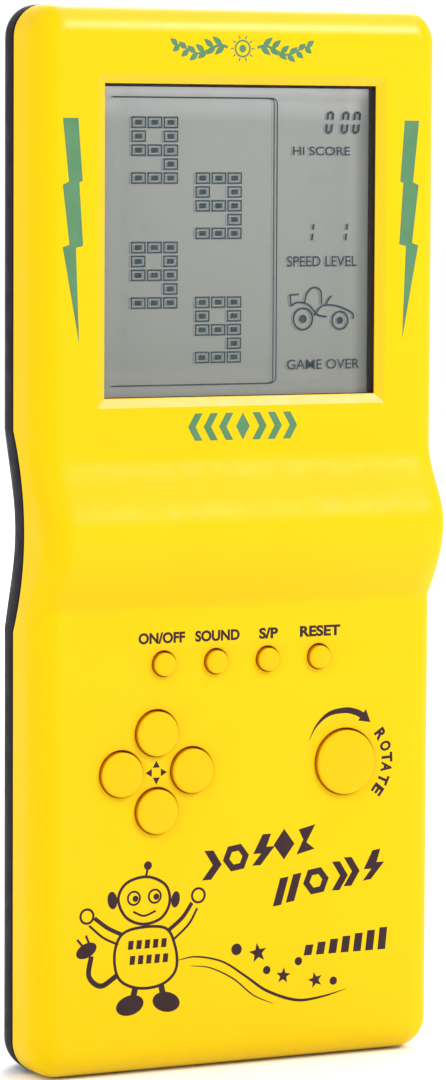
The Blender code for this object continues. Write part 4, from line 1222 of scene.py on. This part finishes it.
CARRIED = {
    "display_frame": "black_plastic", "lcd_reflector": "silver_film", "zebra_strip": "conductive_elastomer",
    "display_board": "green_board", "key_board": "green_board", "chip_blob": "black_epoxy",
    "capacitor": "shrink_sleeve", "ribbon_cable": "amber_film", "function_mat": "grey_silicone",
    "pad_mat": "grey_silicone", "rotate_mat": "grey_silicone", "buzzer_disc": "rolled_brass",
    "piezo_element": "piezo_ceramic", "bridge_contact": "nickel_steel", "positive_contact": "nickel_steel",
    "negative_contact": "nickel_steel", "battery_wire_red": "red_pvc", "buzzer_wire_red": "red_pvc",
    "battery_wire_black": "black_pvc", "buzzer_wire_black": "black_pvc",
}


def dress_carried_nodes():
    """The CAD nodes inside the case keep their shape and get a detailed material."""
    for name, node in NODES.items():
        look = CARRIED.get(name)
        if name.endswith("_dome"):
            look = "grey_silicone"
        if name.startswith(("display_screw_", "key_screw_")):
            look = "nickel_steel"
        if look:
            node.data.materials.clear()
            node.data.materials.append(MATERIALS[look])


# ---- studio ----
def make_studio():
    scene = bpy.context.scene
    scene.view_settings.view_transform = "Standard"
    world = bpy.data.worlds.new("studio")
    world.use_nodes = True
    world.node_tree.nodes["Background"].inputs["Color"].default_value = (1, 1, 1, 1)
    world.node_tree.nodes["Background"].inputs["Strength"].default_value = 1.04
    scene.world = world

    floor = bpy.data.meshes.new("floor")
    reach = 6.0
    floor.from_pydata([(-reach, -reach, 0), (reach, -reach, 0), (reach, reach, 0), (-reach, reach, 0)], [],
                      [(0, 1, 2, 3)])
    floor = add_object("floor", floor)
    floor.location.z = -0.0002
    pale = Shader("pale_floor")
    pale.surface({"Base Color": (0.97, 0.97, 0.97, 1), "Specular IOR Level": 0.05})
    pale.vary_roughness(0.75, 0.9, 0.05)
    floor.data.materials.append(pale.material)

    add_softbox("key_light", 36, 37, 1.0, 0.32, 0.26, 4.4)
    add_softbox("corner_light", -52, 46, 1.4, 0.30, 0.30, 2.2)
    add_softbox("side_light", -88, 8, 1.4, 0.80, 0.80, 2.4)
    add_softbox("back_light", 150, 38, 1.4, 0.60, 0.60, 13.0)


def add_softbox(name, azimuth, elevation, distance, wide, tall, power):
    """A soft light in a direction seen from the middle of the game, azimuth 0 being in front of it."""
    target = Vector((0, 0, HEIGHT / 2))
    a, e = radians(azimuth), radians(elevation)
    away = Vector((sin(a) * cos(e), -cos(a) * cos(e), sin(e)))
    light = bpy.data.lights.new(name, "AREA")
    light.shape = "RECTANGLE"
    light.size, light.size_y = wide, tall
    light.energy = power
    obj = add_object(name, light)
    obj.location = target + away * distance
    obj.rotation_euler = (-away).to_track_quat("-Z", "Y").to_euler()


def make_camera():
    azimuth, elevation, roll, distance = radians(-26.57), radians(4.77), radians(0.28), 0.8064
    target = Vector((0.0044, PARTING_Y + 0.0061, HEIGHT / 2 - 0.0012))
    forward = Vector((-sin(azimuth) * cos(elevation), cos(azimuth) * cos(elevation), -sin(elevation)))
    camera = bpy.data.cameras.new("camera")
    camera.sensor_width, camera.lens = 36.0, 155.6
    obj = add_object("camera", camera)
    obj.location = target - forward * distance
    obj.rotation_mode = "QUATERNION"
    obj.rotation_quaternion = forward.to_track_quat("-Z", "Y") @ Quaternion((0, 0, 1), roll)
    bpy.context.scene.camera = obj


MATERIALS = {name: make_material(name, *row) for name, row in LOOKS.items()}
MATERIALS["clear_acrylic"] = lens_material()
MATERIALS["lcd_grey"] = lcd_material()
make_camera()
make_studio()
make_front_shell()
make_back_shell()
make_battery_door()
make_screws()
make_buttons()
make_display()
make_lcd_ink()
print_bolts()
print_crest()
print_badge()
print_labels()
print_marks()
print_trail()
print_robot()
make_cells()
make_springs_and_contacts()
dress_carried_nodes()
